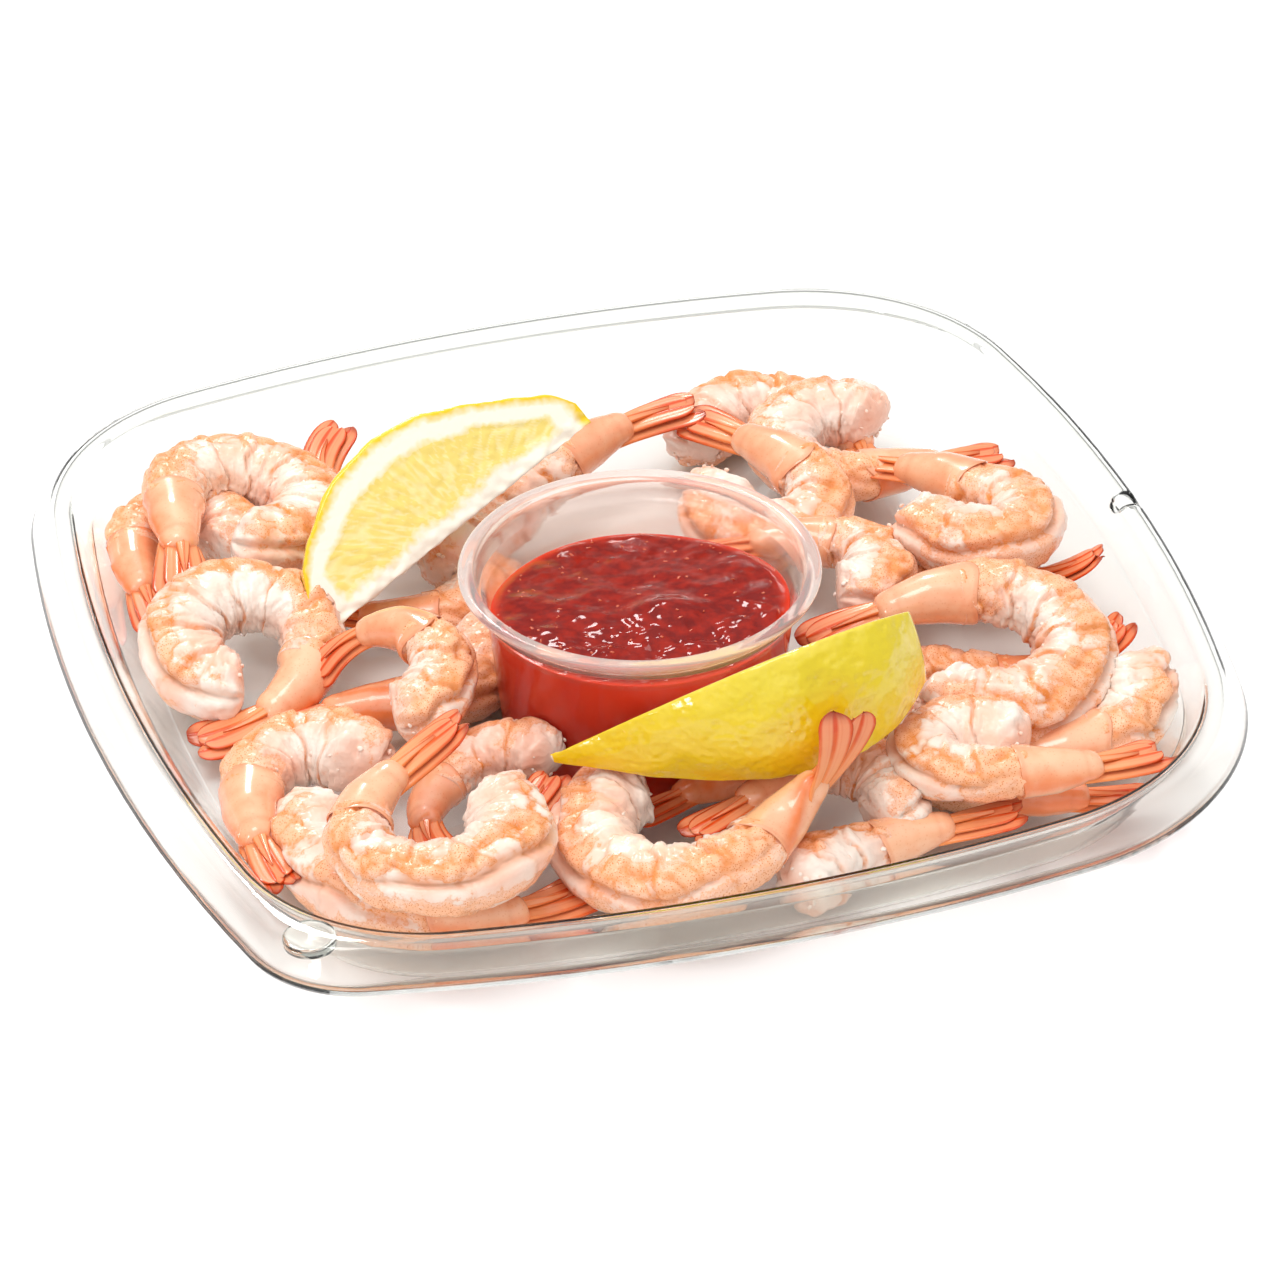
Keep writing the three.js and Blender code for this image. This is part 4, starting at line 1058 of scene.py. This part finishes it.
def shrimp_shell_finish(settings):
    """Cooked shell: thin glossy chitin, orange over the pale meat, with a darker hem and dots."""
    shell = Finish("cooked_shrimp_shell")
    pushed = shell.math("MULTIPLY_ADD", shell.noise(200.0, 3.0), 0.9, shell.attribute("flush"))
    base = shell.mixed(shell.remap(pushed, 0.55, 1.2), settings.shell_colour, settings.shell_dark_colour)
    dots = shell.remap(shell.cells(1250.0), 0.26, 0.1, 0.0, 0.3)
    dotted = shell.mixed(dots, base, settings.hem_colour)
    colour = shell.mixed(shell.attribute("crease"), dotted, settings.hem_colour)
    return shell.finished(shell.surface(colour, 0.24, IOR=1.5, Coat_Weight=0.8, Coat_Roughness=0.08))


def shrimp_fan_finish(settings):
    """Tail fan: ribbed chitin, orange at the root and deep red to the tips, pale between the ribs."""
    fan = Finish("cooked_shrimp_tail_fan")
    pushed = fan.math("MULTIPLY_ADD", fan.noise(300.0, 3.0), 0.5, fan.attribute("along"))
    reddened = fan.mixed(fan.remap(pushed, 0.35, 1.05), settings.fan_root_colour, settings.fan_tip_colour)
    between = fan.remap(fan.attribute("flush"), 0.8, 0.1, 0.0, 0.6)
    pale = fan.mixed(between, reddened, settings.membrane_colour)
    colour = fan.mixed(fan.attribute("crease"), pale, settings.fringe_colour)
    return fan.finished(fan.surface(colour, 0.2, IOR=1.47))


# ---------------------------------------------------------------- settings

class TraySettings(bpy.types.PropertyGroup):
    corner_rounding: IntProperty(name="Corner rounding", default=3, min=1, max=4,
                                 description="Times each fold of the sheet is rounded")
    sheet_colour: colour_property("Sheet", "Tint of the clear sheet", "#f4f5f1")


class CupSettings(bpy.types.PropertyGroup):
    segments: IntProperty(name="Segments", description="Facets round the cup", default=129,
                          min=33, max=257)
    clearness: FloatProperty(name="Clearness", default=0.75, min=0, max=1, subtype="FACTOR",
                             description="Share of the light that passes through the rim")
    cup_colour: colour_property("Cup", "Colour of the milky plastic", "#fdf0ea")


class SauceSettings(bpy.types.PropertyGroup):
    bit_size: FloatProperty(name="Bit size", description="Half length of a grated bit",
                            default=0.45 * MM, unit="LENGTH", precision=5)
    bit_density: FloatProperty(name="Bits", description="Grated bits on a square metre of sauce",
                               default=24000)
    seed: IntProperty(name="Seed", description="Which scatter of bits is used", default=7)
    deep_colour: colour_property("Deep", "Colour where the sauce is thick", "#780c03")
    bright_colour: colour_property("Bright", "Colour of the pulp", "#9a1904")
    edge_and_glow_colour: colour_property("Edge", "Colour where the sauce lies thin", "#d8300a")
    bit_colour: colour_property("Bits", "Colour of the grated bits", "#c2481c")


class LemonSettings(bpy.types.PropertyGroup):
    relief: FloatProperty(name="Relief", description="How far juice sacs and glands stand out", default=1.0,
                          min=0, max=2, subtype="FACTOR")
    rind_colour: colour_property("Rind", "Ripe zest", "#f1cb08")
    unripe_colour: colour_property("Unripe", "Greener zest", "#e4cd1c")
    pith_colour: colour_property("Pith", "White under the zest", "#fdf8e6")
    flesh_colour: colour_property("Flesh", "Juice sacs", "#f4dc74")
    sac_wall_colour: colour_property("Sac walls", "Pale skins of the juice sacs", "#faeaa2")


class ShrimpSettings(bpy.types.PropertyGroup):
    mesh_step_mm: FloatProperty(name="Step", default=0.5, min=0.3, max=2,
                                description="Distance between rings of a body, in millimetres")
    body_sides: IntProperty(name="Sides", description="Points round a body", default=56, min=16, max=96)
    relief: FloatProperty(name="Relief", description="How far segments and creases stand out", default=1.0,
                          min=0, max=2, subtype="FACTOR")
    meat_colour: colour_property("Meat", "Cooked meat", "#f6e7da")
    pink_colour: colour_property("Pink", "Faint flush of the meat", "#fac8b0")
    flush_colour: colour_property("Flush", "Orange patches on the back", "#fbbb92")
    speckle_colour: colour_property("Speckles", "Pigment spots in the patches", "#d8742f")
    crease_colour: colour_property("Creases", "Folds between segments", "#e88a40")
    shell_colour: colour_property("Shell", "Cooked shell", "#fabb92")
    shell_dark_colour: colour_property("Dark shell", "Cooked shell on the back", "#f28348")
    hem_colour: colour_property("Hem", "Edge of the shell", "#dc7440")
    fan_root_colour: colour_property("Fan root", "Tail fan where it joins", "#f4914e")
    fan_tip_colour: colour_property("Fan tips", "Tail fan at its tips", "#dc4c16")
    membrane_colour: colour_property("Membrane", "Skin between the ribs", "#f8b080")
    fringe_colour: colour_property("Fringe", "Hair along the tips", "#a83c1e")


class StageSettings(bpy.types.PropertyGroup):
    elevation: FloatProperty(name="Elevation", default=math.radians(33.27), subtype="ANGLE",
                             description="Height of the view above the floor")
    azimuth: FloatProperty(name="Azimuth", default=math.radians(17.38), subtype="ANGLE",
                           description="How far the camera stands to the left")
    roll: FloatProperty(name="Roll", default=math.radians(-0.59), subtype="ANGLE",
                        description="Turn of the camera about its line of sight")
    floor_colour: colour_property("Floor", "Plain pale floor", "#f6f6f6")
    sky_strength: FloatProperty(name="Sky", default=0.74,
                                description="Strength of the even light from all round")
    key_power: FloatProperty(name="Key", default=3.3,
                             description="Power of the large soft light overhead, in watts")


# ---------------------------------------------------------------- operators

class BuildTray(bpy.types.Operator):
    """Mould the clear tray with its ridge, lid notch and thumb disc"""
    bl_idname = "cocktail.build_tray"
    bl_label = "Tray"

    def execute(self, context):
        settings = context.scene.cocktail_tray
        line = np.vstack([rounded_line(side, settings.corner_rounding) for side in (TRAY_UPPER, TRAY_LOWER)])
        rings = np.array([tray_ring(*step) for step in line])
        near_notch = 1 - smooth_step(NOTCH_HALF - 1.2, NOTCH_HALF + 0.8, np.abs(rings[..., 1] - NOTCH_Y))
        on_ridge = smooth_step(*NOTCH_FROM_Z, rings[..., 2]) * (rings[..., 0] > NOTCH_FROM_X)
        rings[..., 2] -= NOTCH_DEPTH * near_notch * on_ridge
        sheet = mesh_from("tray_sheet", *tube(rings[::-1], [0, 0, 0], [0, 0, TRAY_SHEET]))
        face_outwards(sheet)
        work = bmesh.new()
        work.from_mesh(sheet)
        work.from_mesh(turned("disc_profile", THUMB_DISC, THUMB_DISC_AT, THUMB_DISC_SIDES))
        work.to_mesh(sheet)
        work.free()
        sheet.shade_smooth()
        if len(sheet.polygons) < 1000:
            raise RuntimeError("the tray has no sheet")
        place_piece("tray_moulding", sheet, "tray", [clear_pet(settings)])
        return {"FINISHED"}


class BuildCup(bpy.types.Operator):
    """Turn the milky sauce cup from its profile"""
    bl_idname = "cocktail.build_cup"
    bl_label = "Sauce cup"

    def execute(self, context):
        settings = context.scene.cocktail_cup
        plastic = milky_pp(settings)
        cup = turned("cup_profile", rounded_line(CUP_OUTER + CUP_INNER, 2), CUP_AT, settings.segments,
                     Material=plastic)
        if len(cup.polygons) < 1000:
            raise RuntimeError("the cup's profile was not turned")
        place_piece("sauce_cup_moulding", cup, "sauce_cup", [plastic])
        return {"FINISHED"}


class BuildSauce(bpy.types.Operator):
    """Fill the cup with lumpy sauce and scatter grated bits in it"""
    bl_idname = "cocktail.build_sauce"
    bl_label = "Sauce"

    def execute(self, context):
        settings = context.scene.cocktail_sauce
        turn = TURN * np.arange(SAUCE_SIDES) / SAUCE_SIDES
        last_z = SAUCE_EDGE_Z - 0.5
        rows = [(26.0, SAUCE_FLOOR_Z), (cup_wall(3.2) - 0.3, SAUCE_FLOOR_Z + 0.8)]
        rows += [(cup_wall(z), z) for z in np.linspace(4, last_z, SAUCE_WALL_ROWS)]
        rings, thin = [], []
        for reach, z in rows:
            sunk = z - sauce_drop(reach * np.sin(turn)) * smooth_step(4, last_z, z)
            rings.append(np.stack([reach * np.cos(turn), reach * np.sin(turn), sunk], axis=-1))
            # The sides against the cup wall get painted glow: a brighter red that stands for light coming in
            # through the cup.
            thin.append(np.full(SAUCE_SIDES, 0.55 + 0.35 * smooth_step(20, SAUCE_EDGE_Z, z)))
        edge = cup_wall(SAUCE_EDGE_Z)
        for reach in np.linspace(edge, 0.4, SAUCE_TOP_ROWS):
            x, y = reach * np.cos(turn), reach * np.sin(turn)
            rings.append(np.stack([x, y, sauce_height(x, y, edge - reach)], axis=-1))
            thin.append(np.full(SAUCE_SIDES, bell(edge - reach, 1.8)))
        top = sauce_height(np.zeros(1), np.zeros(1), edge)[0]
        points, faces = tube(np.array(rings), [0, 0, SAUCE_FLOOR_Z], [0, 0, top])
        points[:, :2] += CUP_AT
        sauce = mesh_from("sauce_body", points, faces, {"thin": np.append(np.array(thin).ravel(), [0, 0])})
        red, bits = cocktail_sauce(settings), grated_bits(settings)
        sauce.materials.append(red)
        filled = grown(sauce, crumb_tree(), {
            "Bits per square metre": settings.bit_density, "Bit size": settings.bit_size,
            "Seed": settings.seed, "Material": bits})
        of_bits = [index for index, material in enumerate(filled.materials) if material == bits]
        in_bits = np.isin(materials_used(filled), of_bits)
        if not in_bits.any() or in_bits.all():
            raise RuntimeError("the grated bits were not scattered")
        filled.polygons.foreach_set("material_index", in_bits.astype(np.int32))
        place_piece("cocktail_sauce_fill", filled, "cocktail_sauce", [red, bits])
        return {"FINISHED"}


class BuildLemons(bpy.types.Operator):
    """Cut the two lemon wedges, with their rind, pith and juice sacs"""
    bl_idname = "cocktail.build_lemons"
    bl_label = "Lemon wedges"

    def execute(self, context):
        settings = context.scene.cocktail_lemon
        finishes = [lemon_rind(settings), lemon_flesh(settings)]
        for number, (name, lemon) in enumerate(LEMONS.items()):
            points, *rest = lemon_wedge(lemon, number, settings.relief)
            mesh = mesh_from(f"lemon_{name}", clear_of_cup(inside_bowl(points)), *rest)
            place_piece(f"lemon_wedge_{name}_fruit", mesh, f"lemon_wedge_{name}", finishes)
        return {"FINISHED"}


class BuildShrimps(bpy.types.Operator):
    """Lay the cooked shrimps in the tray, each pressed against those under it"""
    bl_idname = "cocktail.build_shrimps"
    bl_label = "Shrimps"

    def execute(self, context):
        settings = context.scene.cocktail_shrimp
        finishes = [shrimp_meat(settings), shrimp_shell_finish(settings), shrimp_fan_finish(settings),
                    shrimp_fray(settings)]
        knobs = knob_tree()
        full = [{**STRAIGHT, **own} for own in SHRIMPS]
        lemons, laid_down = [], []
        for name in LEMONS:
            mesh = bpy.data.objects[f"lemon_wedge_{name}_fruit"].data
            points = np.array([vertex.co for vertex in mesh.vertices]) / MM
            lemons.append(search_tree(points, [tuple(face.vertices) for face in mesh.polygons]))
        for index in sorted(range(len(full)), key=lambda i: (full[i]["late"], full[i]["at"][2])):
            seed = index + 1
            spine = Spine(full[index])
            body = shrimp_body(spine, seed, settings)
            parts = [(*body, 0), (*shrimp_shell(spine, seed), 1)]
            parts += [(*blade, 2) for blade in shrimp_fan(spine, seed)]
            parts.append((*self.knobs(spine, seed, knobs, finishes[3]), 3))
            points, faces, attributes, finish = self.gathered(parts)
            points = clear_of_cup(inside_bowl(points))
            points = push_out(push_out(points, lemons, INTO_LEMON), laid_down, INTO_SHRIMP)
            points = clear_of_cup(inside_bowl(points))
            laid_down.append(search_tree(points[:len(body[0])], body[1]))
            mesh = mesh_from(f"shrimp_{seed:02d}_skin", points, faces, attributes, finish)
            place_piece(f"shrimp_{seed:02d}_cooked", mesh, f"shrimp_{seed:02d}", finishes)
        return {"FINISHED"}

    def knobs(self, spine, seed, tree, meat):
        """Leg stubs and torn knobs, grown at their places and squeezed out of round."""
        places, directions, sizes = nub_places(spine, seed)
        cloud = bpy.data.meshes.new("knob_places")
        cloud.from_pydata(places.tolist(), [], [])
        lean = cloud.attributes.new("direction", "FLOAT_VECTOR", "POINT")
        lean.data.foreach_set("vector", directions.ravel())
        cloud.attributes.new("knob", "FLOAT", "POINT").data.foreach_set("value", sizes)
        made = grown(cloud, tree, {"Stretch": KNOB_STRETCH, "Seed": seed, "Material": meat})
        points = np.array([vertex.co for vertex in made.vertices])
        faces = [tuple(face.vertices) for face in made.polygons]
        bpy.data.meshes.remove(made)
        points = points + directions_of(points, KNOB_LUMPS, seed) * KNOB_SQUEEZE * spine.size
        return points, faces, {key: np.zeros(len(points)) for key in ("flush", "crease", "along")}

    def gathered(self, parts):
        """Points, faces, attributes and material numbers of all parts together."""
        faces, finish, start = [], [], 0
        for points, part_faces, _, material in parts:
            faces += [tuple(start + corner for corner in face) for face in part_faces]
            finish += [material] * len(part_faces)
            start += len(points)
        attributes = {key: np.concatenate([part[2][key] for part in parts]) for key in parts[0][2]}
        return np.vstack([part[0] for part in parts]), faces, attributes, finish


class BuildStage(bpy.types.Operator):
    """Set up the pale floor, the soft lights and the camera"""
    bl_idname = "cocktail.build_stage"
    bl_label = "Stage"

    FLOOR_REACH, FLOOR_Z = 6.0, -0.2 * MM
    FOCAL_PX, FRAME_PX, SENSOR_MM = 8027.8, 1280, 36.0
    OPTICAL_CENTRE_PX = (-0.35, -74.67)
    CAMERA_AT_MM = (-409.89, -1316.49, 932.76)

    # Place and side length in metres, share of the key light's power.
    LAMPS = {"key_softbox": ((-0.3, -0.05, 1.25), 0.42, 1), "back_softbox": ((0.05, 0.95, 0.93), 0.24, 1.4),
             "side_softbox": ((-1.0, -0.57, 0.6), 0.17, 0.5), "fill_softbox": ((-0.45, -1.1, 0.6), 0.8, 0.25)}

    def execute(self, context):
        settings, scene = context.scene.cocktail_stage, context.scene
        scene.view_settings.view_transform = "Standard"
        mesh = bpy.data.meshes.new("floor")
        corners = [(x * self.FLOOR_REACH, y * self.FLOOR_REACH, self.FLOOR_Z)
                   for x, y in ((-1, -1), (1, -1), (1, 1), (-1, 1))]
        mesh.from_pydata(corners, [], [(0, 1, 2, 3)])
        matt = Finish("matt_white_floor")
        mesh.materials.append(matt.finished(matt.surface(settings.floor_colour, 0.9, Specular_IOR_Level=0.1)))
        floor = self.placed(scene, bpy.data.objects.new("floor", mesh))

        scene.world = bpy.data.worlds.new("studio")
        scene.world.use_nodes = True
        scene.world.node_tree.nodes.clear()
        sky = Nodes(scene.world.node_tree)
        height = sky.add("ShaderNodeSeparateXYZ", {0: sky.add("ShaderNodeTexCoord")["Generated"]})[2]
        glow = sky.remap(height, 0.45, 0.95, settings.sky_strength * 0.65, settings.sky_strength * 2.1)
        even = sky.add("ShaderNodeBackground", {"Color": (1, 1, 1, 1), "Strength": glow})[0]
        sky.add("ShaderNodeOutputWorld", {"Surface": even})

        for name, (place, size, share) in self.LAMPS.items():
            light = bpy.data.lights.new(name, "AREA")
            light.shape, light.size, light.energy = "SQUARE", size, settings.key_power * share
            lamp = self.placed(scene, bpy.data.objects.new(name, light))
            lamp.location = place
            lamp.rotation_euler = (-Vector(place)).to_track_quat("-Z", "Y").to_euler()
        data = bpy.data.cameras.new("camera")
        data.sensor_width = self.SENSOR_MM
        data.lens = self.FOCAL_PX / self.FRAME_PX * self.SENSOR_MM
        scene.camera = self.placed(scene, bpy.data.objects.new("camera", data))
        scene.camera.matrix_world = self.view(settings)
        return {"FINISHED"}

    def placed(self, scene, made):
        scene.collection.objects.link(made)
        return made

    def view(self, settings):
        """Camera matrix, turned so that the optical centre of the view falls in the middle of the frame."""
        elevation, azimuth, roll = settings.elevation, settings.azimuth, settings.roll
        back = Vector((-math.sin(azimuth) * math.cos(elevation), -math.cos(azimuth) * math.cos(elevation),
                       math.sin(elevation)))
        right = (-back).cross(Vector((0, 0, 1))).normalized()
        up = back.cross(right)
        turned_right = right * math.cos(roll) + up * math.sin(roll)
        turned_up = up * math.cos(roll) - right * math.sin(roll)
        x, y = self.OPTICAL_CENTRE_PX
        ahead = -back - turned_right * (x / self.FOCAL_PX) + turned_up * (y / self.FOCAL_PX)
        ahead.normalize()
        side = ahead.cross(turned_up).normalized()
        rotation = Matrix((side, side.cross(ahead), -ahead)).transposed()
        return Matrix.Translation(Vector(self.CAMERA_AT_MM) * MM) @ rotation.to_4x4()


class CocktailPanel(bpy.types.Panel):
    """Builds the shrimp cocktail piece by piece"""
    bl_idname = "VIEW3D_PT_shrimp_cocktail"
    bl_label = "Shrimp cocktail"
    bl_space_type = "VIEW_3D"
    bl_region_type = "UI"
    bl_category = "Shrimp cocktail"

    def draw(self, context):
        for operator, _, key in STEPS:
            box = self.layout.box()
            box.operator(operator.bl_idname)
            group = getattr(context.scene, key)
            for prop in group.bl_rna.properties:
                if not prop.is_readonly and prop.identifier != "name":
                    box.prop(group, prop.identifier)


STEPS = [
    (BuildTray, TraySettings, "cocktail_tray"),
    (BuildCup, CupSettings, "cocktail_cup"),
    (BuildSauce, SauceSettings, "cocktail_sauce"),
    (BuildLemons, LemonSettings, "cocktail_lemon"),
    (BuildShrimps, ShrimpSettings, "cocktail_shrimp"),
    (BuildStage, StageSettings, "cocktail_stage"),
]


def register():
    for operator, group, key in STEPS:
        bpy.utils.register_class(group)
        setattr(bpy.types.Scene, key, PointerProperty(type=group))
        bpy.utils.register_class(operator)
    bpy.utils.register_class(CocktailPanel)


def unregister():
    bpy.utils.unregister_class(CocktailPanel)
    for operator, group, key in reversed(STEPS):
        bpy.utils.unregister_class(operator)
        delattr(bpy.types.Scene, key)
        bpy.utils.unregister_class(group)


def main():
    register()
    for operator, _, _ in STEPS:
        area, name = operator.bl_idname.split(".")
        if getattr(getattr(bpy.ops, area), name)() != {"FINISHED"}:
            raise RuntimeError(f"{operator.bl_label} was not built")


if __name__ == "__main__":
    main()
